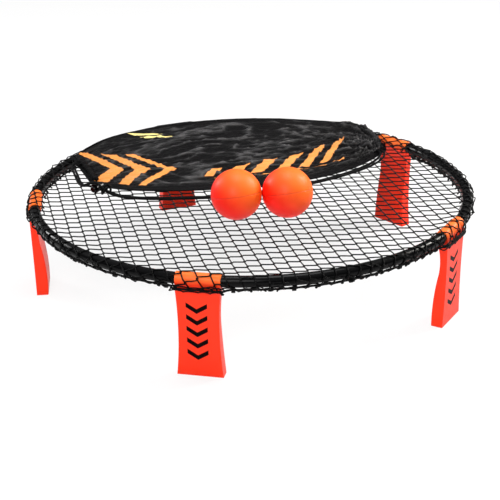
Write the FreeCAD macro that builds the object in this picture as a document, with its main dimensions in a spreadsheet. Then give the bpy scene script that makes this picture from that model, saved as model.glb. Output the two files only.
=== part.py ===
import FreeCAD
import Part
import Sketcher
import math
import os

# A roundnet set in millimetres: five curved tubes and five folding legs carry a round net,
# with two balls and a drawstring carry bag lying on it.
# The origin is on the ground under the rim's centre, and +Z is up.

doc = FreeCAD.newDocument("roundnet_set")

# Named sizes
SIZES = [
    # rim and legs
    ("rim_radius", "447", "centre line of the rim tubes"),
    ("rim_height", "190", "ground to the rim tubes' centre line"),
    ("leg_count", "5", "legs, and tubes between them"),
    ("front_leg_angle", "257.7", "where the first leg stands, in degrees from +X"),
    ("tube_radius", "11", "outside of a rim tube"),
    ("head_radius", "13", "outside of a leg's sleeve head"),
    ("head_half", "42", "half the length of the sleeve head"),
    ("end_gap", "0.2", "gap between a tube's shoulder and the sleeve head"),
    ("spigot_radius", "8", "outside of a tube's spigot"),
    ("spigot_length", "30", "how far a spigot goes into the sleeve head"),
    ("spigot_wall", "2.2", "wall of a spigot"),
    ("spigot_lead", "1.5", "chamfer at a spigot's tip"),
    ("spigot_root", "4", "how deep a spigot is moulded into the tube's end"),
    ("sleeve_clearance", "0.06", "radial running clearance of the sleeve on its spigots"),
    ("trim_reach", "60", "how far the end trimming reaches past the tube on each side"),
    # leg outline, seen from the side and from the front
    ("foot_outset", "9", "outer bottom edge of a foot, outside the tubes' centre line"),
    ("foot_depth", "24", "depth of a foot"),
    ("collar_angle", "215", "where the head's round meets the neck, in degrees"),
    ("neck_drop", "90", "where the neck's hollow meets the shin, below the tubes' centre line"),
    ("shin_inset", "8.5", "inner edge of the shin there, inside the tubes' centre line"),
    ("neck_hollow_radius", "150", "hollow of the neck"),
    ("shin_bulge_radius", "400", "bulge of the shin's inner face"),
    ("foot_half", "44", "half the width of a foot"),
    ("shoulder_drop", "14", "how far the straight sides of the head reach below its axis"),
    ("shoulder_round", "60", "round from the head's sides into the leg's sides"),
    ("shoulder_angle", "5", "angle that the shoulder's round turns through, in degrees"),
    ("side_margin", "20", "how far the side trimming reaches past the foot"),
    ("shin_edge_round", "2.5", "round on the shin's inner edges"),
    # rope and hooks
    ("rope_radius", "2", "edge rope"),
    ("rope_hook_inset", "2.5", "edge rope at a hook, inside the tubes' centre line"),
    ("rope_hook_below", "7", "edge rope at a hook, below the tube"),
    ("rope_free_outset", "0.5", "edge rope between two hooks, drawn outwards by the net"),
    ("rope_free_below", "5.5", "edge rope between two hooks, drawn up by the net"),
    ("rope_face_outset", "2.7775", "edge rope in front of a leg, past the head"),
    ("rope_face_below", "1", "edge rope in front of a leg, below the head's radius"),
    ("rope_face_past", "5.5", "rope's straight run in front of a leg, past the head's end"),
    ("rope_turn_past", "9.6", "where the rope turns outwards beside a leg, past the head's end"),
    ("rope_clearance", "0.3", "gap between the rope and a hook"),
    ("hook_count_half", "3", "hooks from a tube's middle to one end, both counted"),
    ("hook_end_past", "20.413", "last hook on a tube, past the head's end"),
    ("hook_width", "7", "width of a hook along the rim"),
    ("hook_finger", "3", "thickness of a hook's finger, on the rope's outer side"),
    ("hook_lip", "2", "thickness of a hook's lip, under the rope"),
    ("hook_lip_reach", "1.5", "how far a hook's lip reaches past the rope's centre line"),
    ("hook_root", "8", "where a hook starts, below the tube's centre line"),
    # net
    ("net_thickness", "2", "net and its border"),
    ("net_gap", "0.35", "gap between the net's border and the sleeve heads"),
    ("net_border", "8", "width of the net's border"),
    ("mesh_pitch", "52", "spacing of the cords in this model; the real net has about 24"),
    ("mesh_cord", "3", "width of a cord in this model"),
    ("mesh_angle", "13", "how the mesh is turned, in degrees from +X"),
    ("mesh_least_share", "0.12", "smallest part of a full mesh that is left open at the border"),
    # straps that wrap the net over the rim
    ("strap_gap", "0.3", "gap between a strap and what it lies on"),
    ("strap_thickness", "1.6", "thickness of a strap"),
    ("strap_width", "1.8", "width of a strap"),
    ("tape_inset", "19", "inside of the tape on the net's border, inside the tubes' centre line"),
    ("tape_width", "3", "width of the tape on the net's border"),
    ("strap_leave_angle", "-45", "where a strap leaves a tube for the rope, in degrees"),
    ("strap_run", "10.5", "straight end of a strap, from a tube to the rope"),
    ("head_leave_angle", "12", "where a strap leaves a sleeve head, in degrees"),
    ("strap_count", "8", "straps on each tube"),
    ("strap_pitch", "7.2", "angle between straps, in degrees"),
    ("head_strap_offset", "20", "the two straps over a head, each side of its middle"),
    # balls
    ("ball_radius", "50", "ball"),
    ("ball_seat_gap", "0.3", "ball above the net"),
    ("ball_pair_gap", "0.3", "gap between the two balls"),
    ("ball_x", "-28", "first ball's centre"),
    ("ball_y", "-174", "first ball's centre"),
    ("ball_pair_angle", "4", "direction from the first ball to the second, in degrees"),
    ("valve_radius", "3", "rubber valve"),
    ("valve_depth", "5", "how deep the valve sits"),
    ("valve_clearance", "0.1", "gap round the valve"),
    ("valve_hole", "0.6", "needle hole"),
    # bag
    ("bag_thickness", "22", "bag, lying flat"),
    ("bag_lift", "0.3", "bag above the straps that cross the sleeve heads"),
    ("bag_overhang", "5", "bag's back edge, outside the tubes' centre line"),
    ("bag_back_start", "46", "right end of the bag's back edge, in degrees from +X"),
    ("bag_back_end", "150", "left end of the bag's back edge, in degrees from +X"),
    ("bag_front_1_x", "-208", "bag's front edge, from the mouth to the far corner"),
    ("bag_front_1_y", "-19", "bag's front edge"),
    ("bag_front_2_x", "-104", "bag's front edge"),
    ("bag_front_2_y", "-17", "bag's front edge"),
    ("bag_front_3_x", "130", "bag's front edge"),
    ("bag_front_3_y", "38", "bag's front edge"),
    ("bag_front_4_x", "214", "bag's front edge"),
    ("bag_front_4_y", "98", "bag's front edge"),
    ("bag_corner_x", "299", "bag's far front corner"),
    ("bag_corner_y", "213", "bag's far front corner"),
    ("bag_corner_round", "24", "bag's corners seen from above"),
    ("bag_top_round", "10", "bag's upper edges"),
    ("bag_low_round", "3", "bag's lower edges"),
    ("mouth_back_x", "-391", "back end of the mouth's hem"),
    ("mouth_back_y", "192", "back end of the mouth's hem"),
    ("mouth_front_x", "-326.5", "front end of the mouth's hem"),
    ("mouth_front_y", "22", "front end of the mouth's hem"),
    ("hem_depth", "12", "hem, across"),
    ("hem_height", "11", "hem, up"),
    ("hem_inset", "10", "hem shorter than the mouth at each end"),
    ("hem_channel", "3.4", "radius of the channel that the cord runs in"),
    ("hem_round", "2", "hem's long edges"),
    # cord and its lock
    ("cord_radius", "2.5", "drawcord"),
    ("cord_gap", "0.3", "drawcord above the net"),
    ("cord_end_gap", "0.3", "gap at the cord's two ends"),
    ("lock_x", "-318", "cord lock's centre"),
    ("lock_y", "-16", "cord lock's centre"),
    ("lock_turn", "-123.9", "direction that the button points, in degrees from +X"),
    ("lock_radius", "9", "cord lock's barrel"),
    ("lock_back", "14", "barrel behind the cord"),
    ("lock_front", "9", "barrel in front of the cord"),
    ("lock_floor", "2.5", "barrel's closed end"),
    ("lock_round", "2", "barrel's outer edges"),
    ("button_radius", "6.5", "button"),
    ("button_clearance", "0.08", "radial running clearance of the button"),
    ("button_back", "6", "button behind the cord"),
    ("button_front", "15", "button in front of the cord"),
    ("button_travel", "4", "how far the button is pressed"),
    ("lock_hole_radius", "3", "cord holes through the barrel and the button"),
    ("button_round", "1.5", "button's outer edge"),
    # derived sizes
    ("leg_pitch", "=360 / leg_count", "angle between legs"),
    ("half_pitch", "=180 / leg_count", "angle from a leg to the middle of a tube"),
    ("axis_radius", "=sqrt(rim_radius^2 - head_half^2)", "fold axis, where tube and sleeve meet"),
    ("foot_outer_radius", "=rim_radius + foot_outset", "outer bottom edge of a foot"),
    ("shin_inner_radius", "=rim_radius - shin_inset", "inner edge of the shin"),
    ("shin_height", "=rim_height - neck_drop", "where the neck's hollow meets the shin"),
    ("rope_hook_radius", "=rim_radius - rope_hook_inset", "edge rope at a hook"),
    ("rope_hook_drop", "=tube_radius + rope_hook_below", "edge rope at a hook"),
    ("rope_free_radius", "=rim_radius + rope_free_outset", "edge rope between two hooks"),
    ("rope_free_drop", "=tube_radius + rope_free_below", "edge rope between two hooks"),
    ("rope_face_radius", "=axis_radius + head_radius + rope_face_outset", "rope before a leg"),
    ("rope_face_drop", "=head_radius + rope_face_below", "edge rope in front of a leg"),
    ("rope_face_half", "=head_half + rope_face_past", "half the rope's straight run"),
    ("rope_turn_half", "=head_half + rope_turn_past", "where the rope turns outwards"),
    ("hook_end_angle", "=(head_half + hook_end_past) / rim_radius * 57.2957795",
     "angle from a leg to the last hook on a tube"),
    ("hook_pitch", "=(half_pitch - hook_end_angle) / (hook_count_half - 1)",
     "angle between hooks, in degrees"),
    ("tape_inner_radius", "=rim_radius - tape_inset", "inside of the tape on the net's border"),
    ("bag_back_radius", "=rim_radius + bag_overhang", "bag's back edge, along the rim"),
    ("tube_sweep", "=leg_pitch - 2 * (head_half / rim_radius * 57.2958) + 2",
     "angle that a tube is swept through before its ends are trimmed"),
    ("mouth_plane", "=0 - head_half - end_gap", "a tube's shoulder, along the sleeve"),
    ("trim_inner", "=rim_radius - trim_reach", "trimmed region"),
    ("trim_outer", "=rim_radius + trim_reach", "trimmed region"),
    ("spigot_start", "=mouth_plane - spigot_root", "a spigot's buried end"),
    ("spigot_end", "=spigot_length - head_half", "a spigot's tip"),
    ("spigot_shoulder", "=spigot_end - spigot_lead", "where the lead chamfer starts"),
    ("spigot_floor", "=mouth_plane + spigot_root", "closed end of a spigot's bore"),
    ("spigot_outer", "=axis_radius + spigot_radius", "spigot outline"),
    ("spigot_bore", "=axis_radius + spigot_radius - spigot_wall", "spigot outline"),
    ("spigot_nose", "=axis_radius + spigot_radius - spigot_lead", "spigot outline"),
    ("sleeve_radius", "=spigot_radius + sleeve_clearance", "bore of the sleeve head"),
    ("head_outer", "=axis_radius + head_radius", "outermost line of a head"),
    ("head_top", "=rim_height + head_radius", "top of a head"),
    ("collar_x", "=axis_radius + head_radius * cos(collar_angle)", "head meets neck"),
    ("collar_z", "=rim_height + head_radius * sin(collar_angle)", "head meets neck"),
    ("foot_inner_radius", "=foot_outer_radius - foot_depth", "inner bottom edge of a foot"),
    ("side_outer", "=foot_half + side_margin", "trimmed region beside a leg"),
    ("side_top", "=rim_height + head_radius + side_margin", "trimmed region beside a leg"),
    ("side_bottom", "=0 - side_margin", "trimmed region beside a leg"),
    ("shoulder_z", "=rim_height - shoulder_drop", "lower end of the head's straight sides"),
    ("waist_half", "=head_half - shoulder_round * (1 - cos(shoulder_angle * 1deg))",
     "half the leg's width where its hollow sides start"),
    ("waist_z", "=shoulder_z - shoulder_round * sin(shoulder_angle * 1deg)",
     "height where the hollow sides start"),
    ("waist_hollow_radius",
     "=((foot_half - waist_half)^2 + waist_z^2)"
     " / (2 * ((foot_half - waist_half) * cos(shoulder_angle * 1deg)"
     " + waist_z * sin(shoulder_angle * 1deg)))",
     "hollow of a leg's sides, which meets the shoulder's round without a kink"),
    ("finger_inner", "=rope_hook_radius + rope_radius + rope_clearance", "hook outline"),
    ("finger_outer", "=finger_inner + hook_finger", "hook outline"),
    ("lip_tip", "=rope_hook_radius - hook_lip_reach", "hook outline"),
    ("lip_top", "=0 - rope_hook_drop - rope_radius - rope_clearance", "hook outline"),
    ("lip_low", "=lip_top - hook_lip", "hook outline"),
    ("lip_corner", "=finger_outer - hook_lip", "hook outline"),
    ("hook_top", "=0 - hook_root", "hook outline"),
    ("hook_spread", "=hook_pitch * (hook_count_half - 1)", "angle from middle to end hook"),
    ("net_top", "=rim_height + tube_radius", "top of the net"),
    ("net_bottom", "=net_top - net_thickness", "underside of the net"),
    ("net_radius", "=axis_radius - sqrt((head_radius + net_gap)^2 - (net_bottom - rim_height)^2)",
     "outside of the net's border"),
    ("tape_outer_radius", "=tape_inner_radius + tape_width", "outside of the tape"),
    ("strap_inner_radius", "=tape_inner_radius + 1", "inner end of a strap, inside the tape"),
    ("head_tip_z", "=rope_radius + strap_gap - rope_face_drop", "lower end of a head's strap"),
    ("strap_inner", "=tube_radius + strap_gap", "strap round a tube"),
    ("strap_outer", "=strap_inner + strap_thickness", "strap round a tube"),
    ("strap_c_x", "=rim_radius + strap_inner * cos(strap_leave_angle)", "strap outline"),
    ("strap_c_z", "=strap_inner * sin(strap_leave_angle)", "strap outline"),
    ("strap_d_x", "=strap_c_x + strap_run * sin(strap_leave_angle)", "strap outline"),
    ("strap_d_z", "=strap_c_z - strap_run * cos(strap_leave_angle)", "strap outline"),
    ("strap_e_x", "=rim_radius + strap_outer * cos(strap_leave_angle)", "strap outline"),
    ("strap_e_z", "=strap_outer * sin(strap_leave_angle)", "strap outline"),
    ("strap_f_x", "=strap_e_x + strap_run * sin(strap_leave_angle)", "strap outline"),
    ("strap_f_z", "=strap_e_z - strap_run * cos(strap_leave_angle)", "strap outline"),
    ("head_strap_inner", "=head_radius + strap_gap", "strap over a head"),
    ("head_strap_outer", "=head_strap_inner + strap_thickness", "strap over a head"),
    ("bag_bottom", "=rim_height + head_strap_outer + bag_lift", "underside of the bag"),
    ("head_c_x", "=axis_radius + head_strap_inner * cos(head_leave_angle)", "strap outline"),
    ("head_c_z", "=head_strap_inner * sin(head_leave_angle)", "strap outline"),
    ("head_d_x", "=head_c_x + (head_c_z - head_tip_z) * tan(head_leave_angle)", "strap outline"),
    ("head_e_x", "=axis_radius + head_strap_outer * cos(head_leave_angle)", "strap outline"),
    ("head_e_z", "=head_strap_outer * sin(head_leave_angle)", "strap outline"),
    ("head_f_x", "=head_e_x + (head_e_z - head_tip_z) * tan(head_leave_angle)", "strap outline"),
    ("strap_first", "=half_pitch - strap_pitch * (strap_count - 1) / 2", "first strap, from a leg"),
    ("strap_spread", "=strap_pitch * (strap_count - 1)", "first strap to last on one tube"),
    ("strap_rows", "=360 - leg_pitch", "angle over which the rows of straps repeat"),
    ("mouth_length", "=sqrt((mouth_front_x - mouth_back_x)^2 + (mouth_front_y - mouth_back_y)^2)",
     "mouth's hem line"),
    ("inward_x", "=(mouth_back_y - mouth_front_y) / mouth_length", "from the hem into the bag"),
    ("inward_y", "=(mouth_front_x - mouth_back_x) / mouth_length", "from the hem into the bag"),
    ("face_back_x", "=mouth_back_x + inward_x * hem_depth", "bag's end behind the hem"),
    ("face_back_y", "=mouth_back_y + inward_y * hem_depth", "bag's end behind the hem"),
    ("face_front_x", "=mouth_front_x + inward_x * hem_depth", "bag's end behind the hem"),
    ("face_front_y", "=mouth_front_y + inward_y * hem_depth", "bag's end behind the hem"),
    ("back_start_x", "=bag_back_radius * cos(bag_back_start)", "bag outline"),
    ("back_start_y", "=bag_back_radius * sin(bag_back_start)", "bag outline"),
    ("back_end_x", "=bag_back_radius * cos(bag_back_end)", "bag outline"),
    ("back_end_y", "=bag_back_radius * sin(bag_back_end)", "bag outline"),
    ("hem_length", "=mouth_length - 2 * hem_inset", "hem"),
    ("hem_middle_y", "=hem_depth / 2", "hem's channel"),
    ("hem_middle_z", "=hem_height / 2", "hem's channel"),
    ("ball_z", "=net_top + ball_radius + ball_seat_gap", "ball centres"),
    ("ball_step", "=2 * ball_radius + ball_pair_gap", "distance between ball centres"),
    ("valve_floor", "=ball_radius - valve_depth", "bottom of the valve's seat"),
    ("valve_above", "=ball_radius + 1", "the seat is cut clear of the ball's surface"),
    ("valve_hole_floor", "=valve_floor + 1", "bottom of the needle hole"),
    ("valve_top", "=ball_radius - 0.3", "top of the valve"),
    ("valve_seat_radius", "=valve_radius + valve_clearance", "valve's seat"),
    ("lock_z", "=net_top + cord_gap + lock_radius", "cord lock's centre"),
    ("lock_back_x", "=0 - lock_back", "barrel outline"),
    ("lock_bore_x", "=lock_floor - lock_back", "barrel's bore floor"),
    ("lock_bore_radius", "=button_radius + button_clearance", "barrel's bore"),
    ("lock_round_back_x", "=lock_round - lock_back", "barrel outline"),
    ("lock_round_r", "=lock_radius - lock_round", "barrel outline"),
    ("button_back_x", "=0 - button_back", "button outline"),
    ("button_round_x", "=button_front - button_round", "button outline"),
    ("button_round_r", "=button_radius - button_round", "button outline"),
    ("slot_low", "=0 - lock_hole_radius", "button's slot"),
]

sheet = doc.addObject("Spreadsheet::Sheet", "Sizes")
for row, (alias, content, meaning) in enumerate(SIZES, 1):
    sheet.set(f"A{row}", alias)
    sheet.set(f"B{row}", content)
    sheet.setAlias(f"B{row}", alias)
    sheet.set(f"C{row}", meaning)
doc.recompute()


def size(name):
    """The value of a named size, as a plain number."""
    value = getattr(sheet, name)
    return float(getattr(value, "Value", value))


def bind(thing, prop, name):
    """Ties one property of a feature to a named size."""
    thing.setExpression(prop, f"Sizes.{name}")


# Bodies and sketches
def new_body(label):
    body = doc.addObject("PartDesign::Body", label)
    body.Label = label
    return body


def origin_part(body, role):
    return next(part for part in body.Origin.OriginFeatures if part.Role == role)


def new_sketch(body, name, role):
    sketch = body.newObject("Sketcher::SketchObject", name)
    sketch.AttachmentSupport = (origin_part(body, role), [""])
    sketch.MapMode = "FlatFace"
    return sketch


def pin_point(sketch, geometry, end, place):
    """Fixes one end of a sketch line at a place given by two named sizes, or 0."""
    for kind, axis, name in (("DistanceX", -2, place[0]), ("DistanceY", -1, place[1])):
        if name == 0:
            sketch.addConstraint(Sketcher.Constraint("PointOnObject", geometry, end, axis))
        else:
            value = size(name)
            index = sketch.addConstraint(Sketcher.Constraint(kind, -1, 1, geometry, end, value))
            sketch.setExpression(f"Constraints[{index}]", f"Sizes.{name}")


def spot(place):
    return FreeCAD.Vector(*[0 if name == 0 else size(name) for name in place], 0)


def arc_between(start, end, radius, side):
    """An arc from start to end, and whether it runs from end to start. side is +1 where its
    centre lies left of the way from start to end."""
    middle = (start + end) / 2
    along = end - start
    normal = FreeCAD.Vector(-along.y, along.x, 0)
    normal.normalize()
    rise = math.sqrt(max(radius**2 - (along.Length / 2) ** 2, 0))
    centre = middle + normal * rise * side
    circle = Part.Circle(centre, FreeCAD.Vector(0, 0, 1), radius)
    first = math.atan2(start.y - centre.y, start.x - centre.x)
    last = math.atan2(end.y - centre.y, end.x - centre.x)
    if side > 0:
        return Part.ArcOfCircle(circle, first, last if last > first else last + 2 * math.pi), False
    return Part.ArcOfCircle(circle, last, first if first > last else first + 2 * math.pi), True


def outline(sketch, places, arcs=None):
    """A closed outline through places. arcs gives {side: (radius name, centre side)}."""
    arcs = arcs or {}
    count = len(places)
    ends = []
    for side in range(count):
        start, end = spot(places[side]), spot(places[(side + 1) % count])
        if side in arcs:
            name, turn = arcs[side]
            curve, backwards = arc_between(start, end, size(name), turn)
            index = sketch.addGeometry(curve, False)
            if (end - start).Length > 2 * size(name) - 1e-6:
                sketch.addConstraint(Sketcher.Constraint("Symmetric", index, 1, index, 2, index, 3))
            else:
                radius = sketch.addConstraint(Sketcher.Constraint("Radius", index, size(name)))
                sketch.setExpression(f"Constraints[{radius}]", f"Sizes.{name}")
            ends.append((index, 2, 1) if backwards else (index, 1, 2))
        else:
            index = sketch.addGeometry(Part.LineSegment(start, end), False)
            ends.append((index, 1, 2))
    for side in range(count):
        here, there = ends[side], ends[(side + 1) % count]
        sketch.addConstraint(Sketcher.Constraint("Coincident", here[0], here[2], there[0], there[1]))
    for side, place in enumerate(places):
        pin_point(sketch, ends[side][0], ends[side][1], place)


def circle_at(sketch, place, radius_name):
    index = sketch.addGeometry(
        Part.Circle(spot(place), FreeCAD.Vector(0, 0, 1), size(radius_name)), False)
    pin_point(sketch, index, 3, place)
    radius = sketch.addConstraint(Sketcher.Constraint("Radius", index, size(radius_name)))
    sketch.setExpression(f"Constraints[{radius}]", f"Sizes.{radius_name}")


def axis_line(sketch, start, end):
    """A construction line that a turned feature can use as its axis."""
    index = sketch.addGeometry(Part.LineSegment(spot(start), spot(end)), True)
    pin_point(sketch, index, 1, start)
    pin_point(sketch, index, 2, end)


def turned(body, kind, name, sketch, axis, angle="360"):
    feature = body.newObject(f"PartDesign::{kind}", name)
    feature.Profile = sketch
    feature.ReferenceAxis = axis
    feature.Angle = float(angle)
    return feature


def cut_through(body, name, sketch):
    pocket = body.newObject("PartDesign::Pocket", name)
    pocket.Profile = sketch
    pocket.Type = "ThroughAll"
    pocket.Midplane = True
    return pocket


def mirrored(body, name, originals, role):
    feature = body.newObject("PartDesign::Mirrored", name)
    feature.Originals = originals
    feature.MirrorPlane = (origin_part(body, role), [""])
    body.Tip = feature
    return feature


def edges_where(shape, test):
    return [f"Edge{i}" for i, edge in enumerate(shape.Edges, 1) if test(edge)]


def rounded(body, name, base, radius_name, test):
    doc.recompute()
    fillet = body.newObject("PartDesign::Fillet", name)
    fillet.Base = (base, edges_where(base.Shape, test))
    bind(fillet, "Radius", radius_name)
    return fillet


def turn_about_z(degrees, offset=FreeCAD.Vector(0, 0, 0)):
    return FreeCAD.Placement(offset, FreeCAD.Rotation(FreeCAD.Vector(0, 0, 1), degrees))


def place_on_rim(thing, angle_formula, height_name=None):
    """Turns a body about the rim's centre, and lifts it where it is drawn about the tubes."""
    thing.Placement = turn_about_z(0)
    thing.setExpression("Placement.Rotation.Angle", angle_formula)
    if height_name:
        thing.setExpression("Placement.Base.z", f"Sizes.{height_name}")


# Rim tubes, drawn with the middle of the tube on +X
def rim_tube(number):
    body = new_body(f"rim_tube_{number}")
    section = new_sketch(body, "tube_section", "XZ_Plane")
    circle_at(section, ("rim_radius", 0), "tube_radius")
    z_axis = (origin_part(body, "Z_Axis"), [""])
    tube = turned(body, "Revolution", "tube", section, z_axis)
    tube.Midplane = True
    bind(tube, "Angle", "tube_sweep")

    trim_sketch = new_sketch(body, "end_trim_outline", "XY_Plane")
    trim_sketch.AttachmentOffset = turn_about_z(0)
    trim_sketch.setExpression("AttachmentOffset.Rotation.Angle", "Sizes.half_pitch")
    outline(trim_sketch, [("trim_inner", "mouth_plane"), ("trim_outer", "mouth_plane"),
                          ("trim_outer", 0), ("trim_inner", 0)])
    trim = cut_through(body, "end_trim", trim_sketch)

    spigot_sketch = new_sketch(body, "spigot_outline", "XY_Plane")
    spigot_sketch.AttachmentOffset = turn_about_z(0)
    spigot_sketch.setExpression("AttachmentOffset.Rotation.Angle", "Sizes.half_pitch")
    outline(spigot_sketch, [
        ("axis_radius", "spigot_start"), ("spigot_outer", "spigot_start"),
        ("spigot_outer", "spigot_shoulder"), ("spigot_nose", "spigot_end"),
        ("spigot_bore", "spigot_end"), ("spigot_bore", "spigot_floor"),
        ("axis_radius", "spigot_floor")])
    axis_line(spigot_sketch, ("axis_radius", "spigot_start"), ("axis_radius", "spigot_end"))
    spigot = turned(body, "Revolution", "spigot", spigot_sketch, (spigot_sketch, ["Axis0"]))
    mirrored(body, "both_ends", [trim, spigot], "XZ_Plane")

    hook_sketch = new_sketch(body, "hook_outline", "XZ_Plane")
    outline(hook_sketch, [
        ("finger_inner", "hook_top"), ("finger_inner", "lip_top"), ("lip_tip", "lip_top"),
        ("lip_tip", "lip_low"), ("lip_corner", "lip_low"), ("finger_outer", "lip_top"),
        ("finger_outer", "hook_top")])
    hook = body.newObject("PartDesign::Pad", "hook")
    hook.Profile = hook_sketch
    bind(hook, "Length", "hook_width")
    hook.Midplane = True
    for name, backwards in (("hooks_left", False), ("hooks_right", True)):
        row = body.newObject("PartDesign::PolarPattern", name)
        row.Originals = [hook]
        row.Axis = (origin_part(body, "Z_Axis"), [""])
        bind(row, "Angle", "hook_spread")
        bind(row, "Occurrences", "hook_count_half")
        row.Reversed = backwards
        body.Tip = row
    place_on_rim(body, f"Sizes.front_leg_angle + Sizes.half_pitch + Sizes.leg_pitch * {number - 1}",
                 "rim_height")
    return body


# Legs, drawn standing on +X
def leg(number):
    body = new_body(f"leg_{number}")
    side = new_sketch(body, "leg_side", "XZ_Plane")
    outline(side, [("foot_outer_radius", 0), ("head_outer", "rim_height"),
                   ("axis_radius", "head_top"), ("collar_x", "collar_z"),
                   ("shin_inner_radius", "shin_height"), ("foot_inner_radius", 0)],
            {1: ("head_radius", 1), 2: ("head_radius", 1), 3: ("neck_hollow_radius", -1),
             4: ("shin_bulge_radius", 1)})
    block = body.newObject("PartDesign::Pad", "leg_block")
    block.Profile = side
    block.setExpression("Length", "2 * Sizes.foot_half")
    block.Midplane = True

    flank = new_sketch(body, "leg_flank", "YZ_Plane")
    outline(flank, [("head_half", "side_top"), ("head_half", "shoulder_z"),
                    ("waist_half", "waist_z"), ("foot_half", 0), ("foot_half", "side_bottom"),
                    ("side_outer", "side_bottom"), ("side_outer", "side_top")],
            {1: ("shoulder_round", -1), 2: ("waist_hollow_radius", 1)})
    flank_cut = cut_through(body, "flank_cut", flank)
    both = mirrored(body, "both_flanks", [flank_cut], "XZ_Plane")

    rounded(body, "shin_round", both, "shin_edge_round",
            lambda edge: edge.BoundBox.ZMax < size("shin_height") + 1
            and edge.BoundBox.ZLength > size("shin_height") / 2)
    bore = new_sketch(body, "sleeve_bore", "XZ_Plane")
    circle_at(bore, ("axis_radius", "rim_height"), "sleeve_radius")
    sleeve = cut_through(body, "sleeve", bore)
    body.Tip = sleeve
    place_on_rim(body, f"Sizes.front_leg_angle + Sizes.leg_pitch * {number - 1}")
    return body


rim_tubes = [rim_tube(number) for number in range(1, int(size("leg_count")) + 1)]
legs = [leg(number) for number in range(1, int(size("leg_count")) + 1)]
doc.recompute()


# Net: one holed face, thickened. Meshes that cross the border are cut back to it.
def net_shape():
    pitch, cord = size("mesh_pitch"), size("mesh_cord")
    inner = size("net_radius") - size("net_border")
    level = FreeCAD.Vector(0, 0, size("net_bottom"))
    inside = Part.Face(Part.Wire(Part.makeCircle(inner)))
    turn = FreeCAD.Rotation(FreeCAD.Vector(0, 0, 1), size("mesh_angle"))
    half = (pitch - cord) / 2
    reach = int(inner / pitch) + 2
    holes = []
    for column in range(-reach, reach):
        for row in range(-reach, reach):
            centre = FreeCAD.Vector((column + 0.5) * pitch, (row + 0.5) * pitch, 0)
            if centre.Length > inner + pitch:
                continue
            corners = [turn.multVec(centre + FreeCAD.Vector(x * half, y * half, 0))
                       for x, y in ((-1, -1), (1, -1), (1, 1), (-1, 1))]
            mesh = Part.Face(Part.makePolygon(corners + corners[:1]))
            if max(corner.Length for corner in corners) > inner:
                mesh = mesh.common(inside)
            if mesh.Area > size("mesh_least_share") * (2 * half) ** 2:
                holes.append(mesh.Faces[0].OuterWire)
    sheet_face = Part.Face(Part.Wire(Part.makeCircle(size("net_radius"))))
    holed = sheet_face.cut(Part.makeCompound([Part.Face(hole) for hole in holes]))
    holed.translate(level)
    print("net meshes", len(holes))
    return holed.Faces[0].extrude(FreeCAD.Vector(0, 0, size("net_thickness")))


net = doc.addObject("Part::Feature", "net")
net.Label = "net"
net.Shape = net_shape()


# Route of a rope or cord: straight runs joined by tangent arcs. Each arc takes this share of
# the shorter run at its corner.
CORNER_SHARE = 0.45


def rounded_route(points, closed=False):
    """A wire of lines and tangent arcs through the points, and the least arc radius."""
    corners = list(zip(points, points[1:], points[2:]))
    if closed:
        corners = list(zip(points[-1:] + points[:-1], points, points[1:] + points[:1]))
    edges, least, ends, arcs = [], None, [], []
    for before, corner, after in corners:
        back, ahead = before - corner, after - corner
        half_turn = (math.pi - back.getAngle(ahead)) / 2
        reach = CORNER_SHARE * min(back.Length, ahead.Length)
        radius = reach / math.tan(half_turn)
        least = radius if least is None else min(least, radius)
        first, last = corner + back / back.Length * reach, corner + ahead / ahead.Length * reach
        middle_way = back / back.Length + ahead / ahead.Length
        middle_way.normalize()
        nearest = corner + middle_way * (radius / math.cos(half_turn) - radius)
        ends.append((first, last))
        arcs.append(Part.Arc(first, nearest, last).toShape())
    starts = [ends[-1][1] if closed else points[0]] + [last for first, last in ends[:-1]]
    for start, (first, last), arc in zip(starts, ends, arcs):
        edges += [Part.LineSegment(start, first).toShape(), arc]
    if not closed:
        edges.append(Part.LineSegment(ends[-1][1], points[-1]).toShape())
    return Part.Wire(edges), least


def swept_cord(label, points, radius, closed=False):
    """A round cord along a route, as its own object."""
    path, least = rounded_route(points, closed)
    start_edge = path.Edges[0]
    section = Part.Wire(Part.makeCircle(radius, start_edge.Vertexes[0].Point,
                                        start_edge.tangentAt(start_edge.FirstParameter)))
    cord = doc.addObject("Part::Feature", label)
    cord.Label = label
    cord.Shape = path.makePipeShell([section], True, False)
    print(label, "length", round(path.Length, 1), "least radius", round(least, 1), "volume",
          round(cord.Shape.Volume), "expected", round(path.Length * math.pi * radius**2))
    return cord


# Edge rope: under the tubes from hook to hook, and out across the front of each leg
def rope_points():
    hook_level = size("rim_height") - size("rope_hook_drop")
    beside = math.sqrt(size("rope_hook_radius") ** 2 - size("rope_turn_half") ** 2)
    face = FreeCAD.Vector(size("rope_face_radius"), size("rope_face_half"),
                          size("rim_height") - size("rope_face_drop"))
    turn_out = FreeCAD.Vector(beside, size("rope_turn_half"), hook_level)
    first_hook = size("half_pitch") - size("hook_spread")
    one_pitch = [FreeCAD.Vector(p.x, -p.y, p.z) for p in (turn_out, face)] + [face, turn_out]
    for step in range(1, 4 * int(size("hook_count_half")) - 4):
        kind = "free" if step % 2 else "hook"
        angle = math.radians(first_hook + size("hook_pitch") * step / 2)
        out = size(f"rope_{kind}_radius")
        one_pitch.append(FreeCAD.Vector(out * math.cos(angle), out * math.sin(angle),
                                        size("rim_height") - size(f"rope_{kind}_drop")))
    places = []
    for index in range(int(size("leg_count"))):
        turn = FreeCAD.Rotation(FreeCAD.Vector(0, 0, 1),
                                size("front_leg_angle") + index * size("leg_pitch"))
        places += [turn.multVec(point) for point in one_pitch]
    return places


rope = swept_cord("edge_rope", rope_points(), size("rope_radius"), closed=True)

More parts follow.
